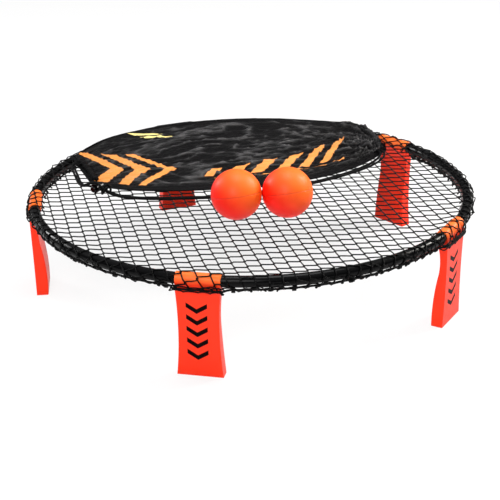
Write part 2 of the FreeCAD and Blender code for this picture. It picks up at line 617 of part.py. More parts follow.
# Tape on the net's border, with the straps that wrap the net over the rim. Drawn with a leg on +X.
edge = new_body("net_edge")
edge_axis = (origin_part(edge, "Z_Axis"), [""])
tape_section = new_sketch(edge, "tape_section", "XZ_Plane")
outline(tape_section, [("tape_inner_radius", "strap_inner"), ("tape_outer_radius", "strap_inner"),
                       ("tape_outer_radius", "strap_outer"), ("tape_inner_radius", "strap_outer")])
turned(edge, "Revolution", "tape", tape_section, edge_axis)


def strap(name, middle, levels, names, offset, angle_name=None):
    """One strap from the net's border over the rim and down to the rope."""
    sketch = new_sketch(edge, f"{name}_outline", "XZ_Plane")
    sketch.AttachmentOffset = FreeCAD.Placement(
        FreeCAD.Vector(0, 0, 0), FreeCAD.Rotation(FreeCAD.Vector(0, 1, 0), 0))
    if angle_name:
        sketch.setExpression("AttachmentOffset.Rotation.Angle", f"Sizes.{angle_name}")
    if offset:
        sketch.setExpression("AttachmentOffset.Base.z", f"Sizes.{offset}")
    c, d, e, f = names
    outline(sketch, [
        ("strap_inner_radius", "strap_inner"), (middle, levels[0]), c, d, f, e,
        (middle, levels[1]), ("strap_inner_radius", "strap_outer")],
        {1: (levels[0], -1), 5: (levels[1], 1)})
    pad = edge.newObject("PartDesign::Pad", name)
    pad.Profile = sketch
    bind(pad, "Length", "strap_width")
    pad.Midplane = True
    return pad


def repeated(name, pad, first):
    """A pad repeated by one transformation, then all of those at every leg pitch."""
    rows = edge.newObject("PartDesign::PolarPattern", f"{name}_rows")
    rows.Axis = edge_axis
    bind(rows, "Angle", "strap_rows")
    bind(rows, "Occurrences", "leg_count")
    every = edge.newObject("PartDesign::MultiTransform", name)
    every.Originals = [pad]
    every.Transformations = [first, rows]
    edge.Tip = every


tube_strap = strap("tube_strap", "rim_radius", ("strap_inner", "strap_outer"),
                   (("strap_c_x", "strap_c_z"), ("strap_d_x", "strap_d_z"),
                    ("strap_e_x", "strap_e_z"), ("strap_f_x", "strap_f_z")), None, "strap_first")
along_tube = edge.newObject("PartDesign::PolarPattern", "along_tube")
along_tube.Axis = edge_axis
bind(along_tube, "Angle", "strap_spread")
bind(along_tube, "Occurrences", "strap_count")
repeated("tube_straps", tube_strap, along_tube)

head_strap = strap("head_strap", "axis_radius", ("head_strap_inner", "head_strap_outer"),
                   (("head_c_x", "head_c_z"), ("head_d_x", "head_tip_z"),
                    ("head_e_x", "head_e_z"), ("head_f_x", "head_tip_z")), "head_strap_offset")
other_side = edge.newObject("PartDesign::Mirrored", "other_side")
other_side.MirrorPlane = (origin_part(edge, "XZ_Plane"), [""])
repeated("head_straps", head_strap, other_side)
place_on_rim(edge, "Sizes.front_leg_angle", "rim_height")


# Balls, each with the rubber valve in a seat that faces away from the viewer
def ball(number, x_formula, y_formula):
    body = new_body(f"ball_{number}")
    sphere = body.newObject("PartDesign::AdditiveSphere", "ball")
    bind(sphere, "Radius", "ball_radius")
    axis = (origin_part(body, "Y_Axis"), [""])
    seat_sketch = new_sketch(body, "valve_seat_outline", "XY_Plane")
    outline(seat_sketch, [(0, "valve_floor"), ("valve_seat_radius", "valve_floor"),
                          ("valve_seat_radius", "valve_above"), (0, "valve_above")])
    body.Tip = turned(body, "Groove", "valve_seat", seat_sketch, axis)

    valve = new_body(f"ball_valve_{number}")
    valve_sketch = new_sketch(valve, "valve_outline", "XY_Plane")
    outline(valve_sketch, [(0, "valve_floor"), ("valve_radius", "valve_floor"),
                           ("valve_radius", "valve_top"), ("valve_hole", "valve_top"),
                           ("valve_hole", "valve_hole_floor"), (0, "valve_hole_floor")])
    turned(valve, "Revolution", "valve", valve_sketch, (origin_part(valve, "Y_Axis"), [""]))
    for thing in (body, valve):
        thing.setExpression("Placement.Base.x", x_formula)
        thing.setExpression("Placement.Base.y", y_formula)
        thing.setExpression("Placement.Base.z", "Sizes.ball_z")
    return body, valve


ball_1, ball_valve_1 = ball(1, "Sizes.ball_x", "Sizes.ball_y")
ball_2, ball_valve_2 = ball(2, "Sizes.ball_x + Sizes.ball_step * cos(Sizes.ball_pair_angle)",
                            "Sizes.ball_y + Sizes.ball_step * sin(Sizes.ball_pair_angle)")

# Carry bag, lying flat with its back edge along the rim
bag = new_body("bag")
bag_sketch = new_sketch(bag, "bag_outline", "XY_Plane")
outline(bag_sketch, [
    ("face_back_x", "face_back_y"), ("face_front_x", "face_front_y"),
    ("bag_front_1_x", "bag_front_1_y"), ("bag_front_2_x", "bag_front_2_y"),
    ("bag_front_3_x", "bag_front_3_y"), ("bag_front_4_x", "bag_front_4_y"),
    ("bag_corner_x", "bag_corner_y"), ("back_start_x", "back_start_y"),
    ("back_end_x", "back_end_y")], {7: ("bag_back_radius", 1)})
bag_pad = bag.newObject("PartDesign::Pad", "bag_block")
bag_pad.Profile = bag_sketch
bind(bag_pad, "Length", "bag_thickness")
bag_corners = rounded(bag, "bag_corners", bag_pad, "bag_corner_round",
                      lambda e: e.BoundBox.ZLength > size("bag_thickness") / 2)
bag_top = rounded(bag, "bag_top", bag_corners, "bag_top_round",
                  lambda e: e.BoundBox.ZMin > size("bag_thickness") / 2)
bag_low = rounded(bag, "bag_low", bag_top, "bag_low_round",
                  lambda e: e.BoundBox.ZMax < size("bag_low_round") / 2)
bag.Tip = bag_low
bag.setExpression("Placement.Base.z", "Sizes.bag_bottom")

# Hem at the bag's mouth. Drawn with its length on X and the bag on its +Y side.
hem = new_body("bag_hem")
hem_sketch = new_sketch(hem, "hem_section", "YZ_Plane")
outline(hem_sketch, [(0, 0), ("hem_depth", 0), ("hem_depth", "hem_height"), (0, "hem_height")])
circle_at(hem_sketch, ("hem_middle_y", "hem_middle_z"), "hem_channel")
hem_pad = hem.newObject("PartDesign::Pad", "hem_block")
hem_pad.Profile = hem_sketch
bind(hem_pad, "Length", "hem_length")
hem_pad.Midplane = True
hem.Tip = rounded(hem, "hem_edges", hem_pad, "hem_round",
                  lambda e: e.BoundBox.XLength > size("hem_length") / 2 and len(e.Vertexes) == 2
                  and abs(e.Vertexes[0].Y - size("hem_middle_y")) > size("hem_channel") + 1)
mouth_run = FreeCAD.Vector(size("mouth_front_x") - size("mouth_back_x"),
                           size("mouth_front_y") - size("mouth_back_y"), 0)
mouth_middle = FreeCAD.Vector((size("mouth_front_x") + size("mouth_back_x")) / 2,
                              (size("mouth_front_y") + size("mouth_back_y")) / 2,
                              size("bag_bottom"))
hem.Placement = turn_about_z(math.degrees(math.atan2(mouth_run.y, mouth_run.x)), mouth_middle)

# Cord lock: a barrel with a sprung button, both drawn with the button's axis on X
lock_body = new_body("cord_lock_body")
barrel_sketch = new_sketch(lock_body, "barrel_outline", "XY_Plane")
outline(barrel_sketch, [
    ("lock_back_x", 0), ("lock_bore_x", 0), ("lock_bore_x", "lock_bore_radius"),
    ("lock_front", "lock_bore_radius"), ("lock_front", "lock_radius"),
    ("lock_round_back_x", "lock_radius"), ("lock_back_x", "lock_round_r")])
turned(lock_body, "Revolution", "barrel", barrel_sketch, (origin_part(lock_body, "X_Axis"), [""]))
barrel_hole = new_sketch(lock_body, "cord_hole_outline", "XZ_Plane")
circle_at(barrel_hole, (0, 0), "lock_hole_radius")
lock_body.Tip = cut_through(lock_body, "cord_hole", barrel_hole)

button = new_body("cord_lock_button")
button_sketch = new_sketch(button, "button_outline", "XY_Plane")
outline(button_sketch, [
    ("button_back_x", 0), ("button_front", 0), ("button_front", "button_round_r"),
    ("button_round_x", "button_radius"), ("button_back_x", "button_radius")])
turned(button, "Revolution", "button", button_sketch, (origin_part(button, "X_Axis"), [""]))
slot = new_sketch(button, "cord_slot_outline", "XZ_Plane")
outline(slot, [(0, "slot_low"), ("button_travel", "slot_low"),
               ("button_travel", "lock_hole_radius"), (0, "lock_hole_radius")],
        {1: ("lock_hole_radius", 1), 3: ("lock_hole_radius", 1)})
button.Tip = cut_through(button, "cord_slot", slot)
lock_place = FreeCAD.Vector(size("lock_x"), size("lock_y"), size("lock_z"))
for thing in (lock_body, button):
    thing.Placement = turn_about_z(size("lock_turn"), lock_place)


# Drawcord: straight runs joined by tangent arcs, in millimetres, heights above the net
EXIT_RUN = 13
HEM_EXIT = 49
BAG_ARRIVAL = 0.78
BAG_ARRIVAL_RISE = 6
LOCK_RUN = 17
HEM_SIDE_ROUTE = [(-381.5, 118, 3), (-368, 72, 0), (-357, 27, 1), (-346.5, 4.5, 4.5)]
NET_ROUTE = [(-291, -36.5, 4.5), (-263, -54, 0.6), (-205, -65, 0), (-134, -64, 0.2),
             (-62, -61, 0), (7, -42, 0.2), (74, -15, 0), (138, 17, 0.2), (198, 59, 0),
             (251, 109, 0.3), (281, 147, 3)]


def cord_points():
    net_top, radius, gap = size("net_top"), size("cord_radius"), size("cord_gap")
    lying = radius + gap
    outward = FreeCAD.Vector(-size("inward_x"), -size("inward_y"), 0)
    along_hem = mouth_run / mouth_run.Length
    mouth_back = FreeCAD.Vector(size("mouth_back_x"), size("mouth_back_y"), 0)
    leave = mouth_back + along_hem * HEM_EXIT + outward * size("cord_end_gap")
    leave_height = size("bag_bottom") + size("hem_height") / 2 - net_top
    through = FreeCAD.Vector(math.sin(math.radians(size("lock_turn"))) * -1,
                             math.cos(math.radians(size("lock_turn"))), 0)
    lock = FreeCAD.Vector(size("lock_x"), size("lock_y"), 0)
    in_lock = size("lock_z") - net_top
    far_start = FreeCAD.Vector(size("bag_front_4_x"), size("bag_front_4_y"), 0)
    far_end = FreeCAD.Vector(size("bag_corner_x"), size("bag_corner_y"), 0)
    far_run = far_end - far_start
    off_bag = FreeCAD.Vector(far_run.y, -far_run.x, 0)
    off_bag.normalize()
    arrive = far_start + far_run * BAG_ARRIVAL + off_bag * size("cord_end_gap")
    arrive_height = size("bag_bottom") + BAG_ARRIVAL_RISE - net_top
    flat = [(leave, leave_height), (leave + outward * EXIT_RUN, leave_height)]
    flat += [(FreeCAD.Vector(x, y, 0), lying + lift) for x, y, lift in HEM_SIDE_ROUTE]
    side = 1 if through.dot(FreeCAD.Vector(1, -1, 0)) > 0 else -1
    flat += [(lock - through * side * LOCK_RUN, in_lock), (lock + through * side * LOCK_RUN, in_lock)]
    flat += [(FreeCAD.Vector(x, y, 0), lying + lift) for x, y, lift in NET_ROUTE]
    flat += [(arrive + off_bag * EXIT_RUN, arrive_height), (arrive, arrive_height)]
    return [FreeCAD.Vector(p.x, p.y, net_top + height) for p, height in flat]


drawcord = swept_cord("drawcord", cord_points(), size("cord_radius"))

# Check and export
doc.recompute()
for item in doc.Objects:
    if "Invalid" in item.State or "Error" in item.State:
        raise RuntimeError(f"{item.Name} ({item.Label}) did not recompute: {item.State}")

NODES = rim_tubes + legs + [net, edge, rope, ball_1, ball_2, ball_valve_1, ball_valve_2, bag, hem,
                            drawcord, lock_body, button]
os.makedirs("parts", exist_ok=True)
for node in NODES:
    shape = node.Shape
    if shape.isNull() or not shape.isValid() or len(shape.Solids) != 1 or shape.Volume <= 0:
        raise RuntimeError(f"{node.Label} is not one valid solid: {shape.ShapeType}, "
                           f"{len(shape.Solids)} solids, volume {shape.Volume}")
    shape.exportStep(f"parts/{node.Label}.step")
    print(node.Label, "volume", round(shape.Volume), "box", [round(value, 1) for value in (
        shape.BoundBox.XMin, shape.BoundBox.XMax, shape.BoundBox.YMin, shape.BoundBox.YMax,
        shape.BoundBox.ZMin, shape.BoundBox.ZMax)])
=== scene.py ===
import functools
import math

import bpy
from bpy.props import FloatProperty, FloatVectorProperty, IntProperty, PointerProperty
from mathutils import Matrix, Vector, noise


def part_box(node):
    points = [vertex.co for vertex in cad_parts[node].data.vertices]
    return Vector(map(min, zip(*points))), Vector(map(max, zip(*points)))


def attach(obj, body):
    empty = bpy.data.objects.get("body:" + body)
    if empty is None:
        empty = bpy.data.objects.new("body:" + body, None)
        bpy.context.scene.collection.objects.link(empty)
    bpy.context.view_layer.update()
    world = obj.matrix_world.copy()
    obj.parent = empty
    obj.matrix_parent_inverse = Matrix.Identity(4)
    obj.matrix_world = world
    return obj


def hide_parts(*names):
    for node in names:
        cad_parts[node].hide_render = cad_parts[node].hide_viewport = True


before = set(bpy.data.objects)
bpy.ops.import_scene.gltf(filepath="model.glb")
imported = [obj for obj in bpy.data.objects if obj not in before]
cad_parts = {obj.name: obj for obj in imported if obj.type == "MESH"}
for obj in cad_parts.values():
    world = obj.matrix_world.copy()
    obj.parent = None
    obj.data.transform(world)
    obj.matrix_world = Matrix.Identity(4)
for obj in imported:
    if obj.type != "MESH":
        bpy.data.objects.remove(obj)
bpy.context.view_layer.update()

bl_info = {
    "name": "Roundnet set",
    "version": (1, 0, 0),
    "blender": (4, 5, 0),
    "location": "3D View > Sidebar > Roundnet",
    "description": "Net, carry bag, cord, balls and finishes of a roundnet set, built round its frame",
    "category": "Object",
}

# Sizes and places in the frame, in metres and degrees
RIM_RADIUS = 0.447
AXIS_RADIUS = 0.44502
RIM_HEIGHT = 0.190
TUBE_RADIUS = 0.011
HEAD_RADIUS = 0.013
FIRST_LEG = 257.7
LEG_PITCH = 72.0
ON_HEAD = 5.6
NET_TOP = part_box("net")[1][2]
BALLS = {"ball_1": Vector((-0.028, -0.174, 0.2513)), "ball_2": Vector((0.07206, -0.1670, 0.2513))}

# The drawcord's route, from the hem, through the lock and round to the bag's far corner
CORD_ROUTE = [
    (-0.3739, 0.1461, 0.2107), (-0.3861, 0.1415, 0.2107), (-0.3815, 0.118, 0.2068),
    (-0.368, 0.072, 0.2038), (-0.357, 0.027, 0.2048), (-0.3465, 0.0045, 0.2083),
    (-0.3321, -0.0065, 0.2103), (-0.3039, -0.0255, 0.2103), (-0.291, -0.0365, 0.2083),
    (-0.263, -0.054, 0.2044), (-0.205, -0.065, 0.2038), (-0.134, -0.064, 0.2040),
    (-0.062, -0.061, 0.2038), (0.007, -0.042, 0.2040), (0.074, -0.015, 0.2038),
    (0.138, 0.017, 0.2040), (0.198, 0.059, 0.2038), (0.251, 0.109, 0.2041),
    (0.281, 0.147, 0.2068), (0.2910, 0.1798, 0.2112), (0.2805, 0.1875, 0.2112)]
CORD_RADIUS = 0.0025

# Colours that have no setting of their own
# painted light: the lighter orange of a leg's lit head
LIT_HEAD_ORANGE = (0.95, 0.20, 0.03, 1)
LEG_DUST = (0.5, 0.12, 0.07, 1)
LIT_CLOTH = (0.060, 0.057, 0.060, 1)
PRINT_YELLOW = (0.95, 0.80, 0.30, 1)


# Sizes and colours
def length(name, description, default, **more):
    return FloatProperty(name=name, description=description, default=default, unit="LENGTH", **more)


def colour(name, description, default):
    return FloatVectorProperty(name=name, description=description, default=default, subtype="COLOR",
                               min=0, max=1)


class RoundnetView(bpy.types.PropertyGroup):
    """The photograph's view, looking at the ground under the rim's centre."""
    distance: length("Distance", "Camera to the ground under the net's centre", 2.7747, min=0.5)
    elevation: FloatProperty(name="Elevation", description="Height of the view above level",
                             default=math.radians(24.5415), subtype="ANGLE")
    roll: FloatProperty(name="Roll", description="Tilt of the picture", default=-0.01526, subtype="ANGLE")
    lens: FloatProperty(name="Lens", description="Focal length on a 36 mm sensor", default=92.827,
                        min=1, unit="CAMERA")
    shift_x: FloatProperty(name="Shift across", description="Lens shift across", default=-0.00368)
    shift_y: FloatProperty(name="Shift up", description="Lens shift up", default=0.04875)


class RoundnetNet(bpy.types.PropertyGroup):
    """Sizes of the stretched net."""
    pitch: length("Mesh", "Distance between neighbouring net cords", 0.0245, min=0.005)
    cord: length("Cord", "Radius of a net cord", 0.00130, min=0.0002, precision=5)
    turn: FloatProperty(name="Turn", description="How the mesh is turned on the rim",
                        default=math.radians(13), subtype="ANGLE")
    spare: length("Wrap", "Width of net that goes over the rim", 0.042, min=0.01)
    wander: length("Wander", "How far a cord strays from its line", 0.0035, min=0)
    jog: length("Jog", "How far a cord steps aside at a crossing", 0.0068, min=0)
    seed: IntProperty(name="Seed", description="Changes how the cords stray", default=4)


class RoundnetBag(bpy.types.PropertyGroup):
    """Sizes of the empty carry bag."""
    across: IntProperty(name="Threads across", description="Rows of the bag's mesh, front to back",
                        default=58, min=12)
    along: IntProperty(name="Threads along", description="Columns of the bag's mesh, mouth to bottom",
                       default=118, min=12)
    spare: FloatProperty(name="Spare cloth", description="Share of spare cloth from front to back",
                         default=0.16, min=0, max=0.4)
    crease: length("Crease", "Height of the creases in the cloth", 0.0062, min=0)
    hump: length("Hump", "Rise of the bunched cloth on the rim by the corner", 0.0095, min=0)
    steps: IntProperty(name="Settling steps", description="Frames in which the cloth settles",
                       default=26, min=2)


class RoundnetColours(bpy.types.PropertyGroup):
    """Colours of the set, as scene-linear values."""
    leg: colour("Legs", "Moulded legs", (0.95, 0.030, 0.004))
    ball: colour("Balls", "Rubber balls", (0.97, 0.012, 0.004))
    # painted highlight: the lighter orange that a ball's upper right side is tinted with, in place of light
    ball_painted_highlight: colour("Ball highlight", "Painted highlight on one side of a ball", (0.97, 0.155, 0.012))
    rim: colour("Rim", "Rim tubes", (0.0015, 0.0015, 0.0017))
    cord: colour("Cords", "Net, rope and drawcord", (0.0012, 0.0012, 0.0014))
    bag: colour("Bag", "Bag cloth", (0.0030, 0.0027, 0.0031))
    print_orange: colour("Print", "Print on the bag", (0.92, 0.34, 0.085))


class RoundnetSettings(bpy.types.PropertyGroup):
    """All settings of the set."""
    view: PointerProperty(type=RoundnetView)
    net: PointerProperty(type=RoundnetNet)
    bag: PointerProperty(type=RoundnetBag)
    colours: PointerProperty(type=RoundnetColours)


def settings():
    return bpy.context.scene.roundnet


# Small helpers
MATHS = {"times": "MULTIPLY", "plus": "ADD", "minus": "SUBTRACT", "over": "DIVIDE", "power": "POWER",
         "root": "SQRT", "size": "ABSOLUTE", "most": "MAXIMUM", "least": "MINIMUM", "floor": "FLOOR",
         "fraction": "FRACT", "modulo": "FLOORED_MODULO", "above": "GREATER_THAN", "below": "LESS_THAN",
         "sine": "SINE", "cosine": "COSINE", "arctan2": "ARCTAN2", "degrees": "DEGREES",
         "radians": "RADIANS", "line": "MULTIPLY_ADD"}


class Nodes:
    """Adds nodes to a tree, with their inputs given by name or number."""

    def __init__(self, tree):
        self.tree = tree

    def add(self, kind, inputs=None, **looks):
        node = self.tree.nodes.new(kind)
        for key, value in looks.items():
            setattr(node, key, value)
        for key, value in (inputs or {}).items():
            socket = node.inputs[key]
            if isinstance(value, bpy.types.NodeSocket):
                self.tree.links.new(value, socket)
            else:
                socket.default_value = value
        return node

    def join(self, *pairs):
        for source, target in pairs:
            self.tree.links.new(source, target)

    def mix(self, share, first, second):
        """first where share is 0, and second where it is 1."""
        return self.add("ShaderNodeMix", {0: share, 2: first, 3: second}, data_type="FLOAT").outputs[0]

    def tinted(self, share, first, second):
        """The first colour where share is 0, and the second where it is 1."""
        return self.add("ShaderNodeMix", {0: share, 6: first, 7: second}, data_type="RGBA").outputs[2]

    def step(self, value, low, high, start=0.0, end=1.0):
        """start below low, end above high, and a smooth change between them."""
        return self.add("ShaderNodeMapRange", {0: value, 1: low, 2: high, 3: start, 4: end},
                        interpolation_type="SMOOTHSTEP").outputs[0]

    def noise(self, place, scale, detail, **more):
        return self.add("ShaderNodeTexNoise", {"Vector": place, "Scale": scale, "Detail": detail, **more},
                        noise_dimensions="4D" if "W" in more else "3D")

    def parts(self, vector):
        return self.add("ShaderNodeSeparateXYZ", {0: vector}).outputs[:3]

    def vector(self, x=0.0, y=0.0, z=0.0):
        return self.add("ShaderNodeCombineXYZ", {0: x, 1: y, 2: z}).outputs[0]

    def object_place(self):
        return self.add("ShaderNodeTexCoord").outputs["Object"]

    def off_leg(self, angle):
        """Degrees from the nearest leg."""
        past = self.modulo(self.minus(self.degrees(angle), FIRST_LEG), LEG_PITCH)
        return self.least(past, self.minus(LEG_PITCH, past))


def maths_method(operation):
    def method(self, *values):
        return self.add("ShaderNodeMath", dict(enumerate(values)), operation=operation).outputs[0]
    return method


for word, operation in MATHS.items():
    setattr(Nodes, word, maths_method(operation))


def linked(name, data):
    piece = bpy.data.objects.new(name, data)
    bpy.context.scene.collection.objects.link(piece)
    return piece


def shaded_smooth(mesh):
    mesh.polygons.foreach_set("use_smooth", [True] * len(mesh.polygons))
    mesh.update()


def evaluated_mesh(thing):
    bpy.context.view_layer.update()
    return bpy.data.meshes.new_from_object(thing.evaluated_get(bpy.context.evaluated_depsgraph_get()))


def mesh_from(name, points, faces, uvs=None):
    """A mesh, with one UV for each face corner where uvs is given."""
    mesh = bpy.data.meshes.new(name)
    mesh.from_pydata([tuple(point) for point in points], [], faces)
    if uvs:
        layer = mesh.uv_layers.new(name="UVMap")
        flat = [value for face in uvs for corner in face for value in corner]
        layer.data.foreach_set("uv", flat)
    mesh.validate()
    shaded_smooth(mesh)
    return mesh


def grown(name, tree, values, material):
    """A piece made by a geometry tree, with nothing live left on it."""
    holder = linked(f"{name}_maker", bpy.data.meshes.new(f"{name}_maker"))
    modifier = holder.modifiers.new("Grow", "NODES")
    modifier.node_group = tree
    for item in tree.interface.items_tree:
        if item.item_type == "SOCKET" and item.in_out == "INPUT" and item.name in values:
            modifier[item.identifier] = values[item.name]
    mesh = evaluated_mesh(holder)
    mesh.name = name
    bpy.data.objects.remove(holder)
    if material.name not in [slot.name for slot in mesh.materials if slot]:
        mesh.materials.append(material)
    shaded_smooth(mesh)
    return linked(name, mesh)


def new_tree(name, numbers):
    """A geometry tree with named inputs and a seed, its helper, and its input and output nodes."""
    tree = bpy.data.node_groups.new(name, "GeometryNodeTree")
    for label in numbers:
        tree.interface.new_socket(name=label, in_out="INPUT", socket_type="NodeSocketFloat")
    tree.interface.new_socket(name="Seed", in_out="INPUT", socket_type="NodeSocketInt")
    tree.interface.new_socket(name="Geometry", in_out="OUTPUT", socket_type="NodeSocketGeometry")
    nodes = Nodes(tree)
    return tree, nodes, nodes.add("NodeGroupInput").outputs, nodes.add("NodeGroupOutput")


def finished_tree(nodes, geometry, material, out):
    """Ends a tree with real geometry that wears its material."""
    real = nodes.add("GeometryNodeRealizeInstances", {0: geometry})
    painted = nodes.add("GeometryNodeSetMaterial", {"Geometry": real.outputs[0], "Material": material})
    nodes.join((painted.outputs[0], out.inputs[0]))


# Materials
def new_material(name):
    material = bpy.data.materials.new(name)
    material.use_nodes = True
    material.node_tree.nodes.clear()
    nodes = Nodes(material.node_tree)
    shader = nodes.add("ShaderNodeBsdfPrincipled")
    out = nodes.add("ShaderNodeOutputMaterial")
    nodes.join((shader.outputs[0], out.inputs["Surface"]))
    return material, nodes, shader


def dressed(nodes, shader, base, height, depth, rough, gloss):
    """Gives a shader its colour, relief, roughness and gloss, each a number or a socket."""
    bump = nodes.add("ShaderNodeBump", {"Height": height, "Distance": depth, "Strength": 1.0})
    nodes.join((base, shader.inputs["Base Color"]), (bump.outputs[0], shader.inputs["Normal"]))
    for label, value in (("Roughness", rough), ("Specular IOR Level", gloss)):
        if isinstance(value, bpy.types.NodeSocket):
            nodes.join((value, shader.inputs[label]))
        else:
            shader.inputs[label].default_value = value


def blotched(nodes, place, scale, tone, darker, lighter):
    """A colour that varies softly over the surface."""
    ramp = nodes.add("ShaderNodeValToRGB", {0: nodes.noise(place, scale, 4.0).outputs["Fac"]})
    for stop, position, share in zip(ramp.color_ramp.elements, (0.3, 0.72), (darker, lighter)):
        stop.position = position
        stop.color = (*[min(value * share, 1) for value in tone], 1)
    return ramp.outputs[0]


def moulded_plastic(name, tone, rough, grain=900.0, gloss=0.2):
    """Moulded plastic with a fine spark-eroded grain and faint flow marks."""
    material, nodes, shader = new_material(name)
    place = nodes.object_place()
    flow = nodes.noise(place, 38.0, 3.0, Distortion=0.6)
    fine = nodes.noise(place, grain, 2.0)
    dressed(nodes, shader, blotched(nodes, place, 9.0, tone, 0.90, 1.08), fine.outputs["Fac"], 0.00006,
            nodes.step(flow.outputs["Fac"], 0.3, 0.7, rough - 0.05, rough + 0.07), gloss)
    return material


def leg_plastic(name, tone, ink):
    """Glossy moulded plastic, dusty at the foot, with painted light that makes the head lighter orange, and a
    printed column of chevrons on a leg's outer face.
    """
    outer_face, low, high, mark_pitch, mark_half = 0.4535, 0.030, 0.1475, 0.0235, 0.0195
    material, nodes, shader = new_material(name)
    place = nodes.object_place()
    x, y, height = nodes.parts(place)
    away = nodes.root(nodes.plus(nodes.power(x, 2.0), nodes.power(y, 2.0)))
    turned = nodes.minus(nodes.degrees(nodes.arctan2(y, x)), FIRST_LEG - LEG_PITCH / 2)
    from_leg = nodes.radians(nodes.minus(nodes.modulo(turned, LEG_PITCH), LEG_PITCH / 2))
    aside = nodes.times(away, nodes.sine(from_leg))
    outward = nodes.times(away, nodes.cosine(from_leg))

    side = nodes.size(nodes.plus(aside, 0.003))
    tip = nodes.line(side, -0.62, height)
    row = nodes.fraction(nodes.over(nodes.minus(tip, low), mark_pitch))
    stroke = nodes.times(nodes.step(row, 0.12, 0.15), nodes.step(row, 0.52, 0.55, 1.0, 0.0))
    field = nodes.times(nodes.above(tip, low), nodes.times(
        nodes.below(tip, high), nodes.step(side, mark_half, mark_half + 0.0006, 1.0, 0.0)))
    mark = nodes.times(nodes.times(stroke, field), nodes.above(outward, outer_face))

    # painted light: the head by the rim is tinted lighter orange, as a lit top
    head = nodes.step(height, 0.181, 0.199, 0.0, 0.75)
    base = nodes.tinted(head, blotched(nodes, place, 7.0, tone, 0.97, 1.03), LIT_HEAD_ORANGE)
    speck = nodes.noise(place, 160.0, 5.0).outputs["Fac"]
    dust = nodes.times(nodes.step(height, 0.0, 0.014, 1.0, 0.0), nodes.step(speck, 0.45, 0.75, 0.0, 0.3))
    printed = nodes.tinted(mark, nodes.tinted(dust, base, LEG_DUST), (*ink, 1))
    grain = nodes.noise(place, 1100.0, 2.0)
    dressed(nodes, shader, printed, grain.outputs["Fac"], 0.00004,
            nodes.step(speck, 0.3, 0.7, 0.34, 0.42), nodes.mix(mark, 0.18, 0.03))
    return material


def ball_rubber(name, tone, highlight_tone, centre, tilt):
    """Pebbled rubber, with painted light that makes one side lighter orange, and the fine line of a seam
    round the ball.
    """
    material, nodes, shader = new_material(name)
    here = nodes.add("ShaderNodeMapping", {0: nodes.object_place(), 1: tuple(-value for value in centre)},
                     vector_type="POINT").outputs[0]
    turned = nodes.add("ShaderNodeMapping", {0: here, 2: (tilt, 0.12, 0)}, vector_type="POINT").outputs[0]
    off_seam = nodes.size(nodes.parts(turned)[2])
    groove = nodes.step(off_seam, 0.0, 0.0009)
    pebble = nodes.add("ShaderNodeTexVoronoi", {"Vector": here, "Scale": 520.0, "Randomness": 0.85},
                       feature="SMOOTH_F1")
    stipple = nodes.times(nodes.minus(1.0, pebble.outputs["Distance"]), 0.35)
    relief = nodes.plus(nodes.times(stipple, nodes.step(off_seam, 0.0012, 0.0024)), groove)
    # painted highlight: the side towards the upper right, where the lamps stand, is tinted lighter orange
    toward = nodes.add("ShaderNodeVectorMath", {0: here, 1: (0.66, -0.14, 0.74)}, operation="DOT_PRODUCT")
    painted_highlight = nodes.step(toward.outputs["Value"], -0.020, 0.056)
    base = nodes.tinted(painted_highlight, blotched(nodes, here, 24.0, tone, 0.96, 1.04), (*highlight_tone, 1))
    seam = nodes.tinted(nodes.times(nodes.minus(1.0, groove), 0.4), base,
                        (*[value * 0.45 for value in tone], 1))
    dull = nodes.noise(here, 60.0, 4.0)
    dressed(nodes, shader, seam, relief, 0.00045,
            nodes.step(dull.outputs["Fac"], 0.3, 0.7, 0.40, 0.52), 0.22)
    return material


def twisted_cord(name, tone, twist=520.0):
    """Twisted cord whose strands follow the surface in Object coordinates."""
    material, nodes, shader = new_material(name)
    place = nodes.object_place()
    strand = nodes.add("ShaderNodeTexWave", {"Vector": place, "Scale": twist, "Distortion": 2.2,
                                             "Detail": 2.0}, wave_type="BANDS", bands_direction="DIAGONAL")
    fuzz = nodes.noise(place, 1400.0, 3.0)
    dressed(nodes, shader, blotched(nodes, place, 60.0, tone, 0.7, 1.7),
            nodes.plus(strand.outputs["Fac"], nodes.times(fuzz.outputs["Fac"], 0.5)), 0.00025, 0.5, 0.1)
    return material


def braided_cord(name, tone):
    """Braid on a tube whose UV runs in metres along the cord and once round it."""
    material, nodes, shader = new_material(name)
    along, round_it, _ = nodes.parts(nodes.add("ShaderNodeUVMap", uv_map="UVMap").outputs[0])
    along = nodes.times(along, 330.0)
    round_it = nodes.times(round_it, 6.0)
    one_way = nodes.sine(nodes.times(nodes.plus(along, round_it), math.tau))
    other_way = nodes.sine(nodes.times(nodes.minus(along, round_it), math.tau))
    braid = nodes.most(one_way, other_way)
    fuzz = nodes.noise(nodes.object_place(), 1500.0, 3.0)
    # painted shade and highlight: darker between the braid's strands and lighter on their tops
    base = nodes.add("ShaderNodeValToRGB", {0: nodes.step(braid, -1.0, 1.0)})
    for stop, share in zip(base.color_ramp.elements, (0.4, 1.9)):
        stop.color = (*[value * share for value in tone], 1)
    dressed(nodes, shader, base.outputs[0], nodes.plus(braid, fuzz.outputs["Fac"]), 0.0003, 0.5, 0.06)
    return material


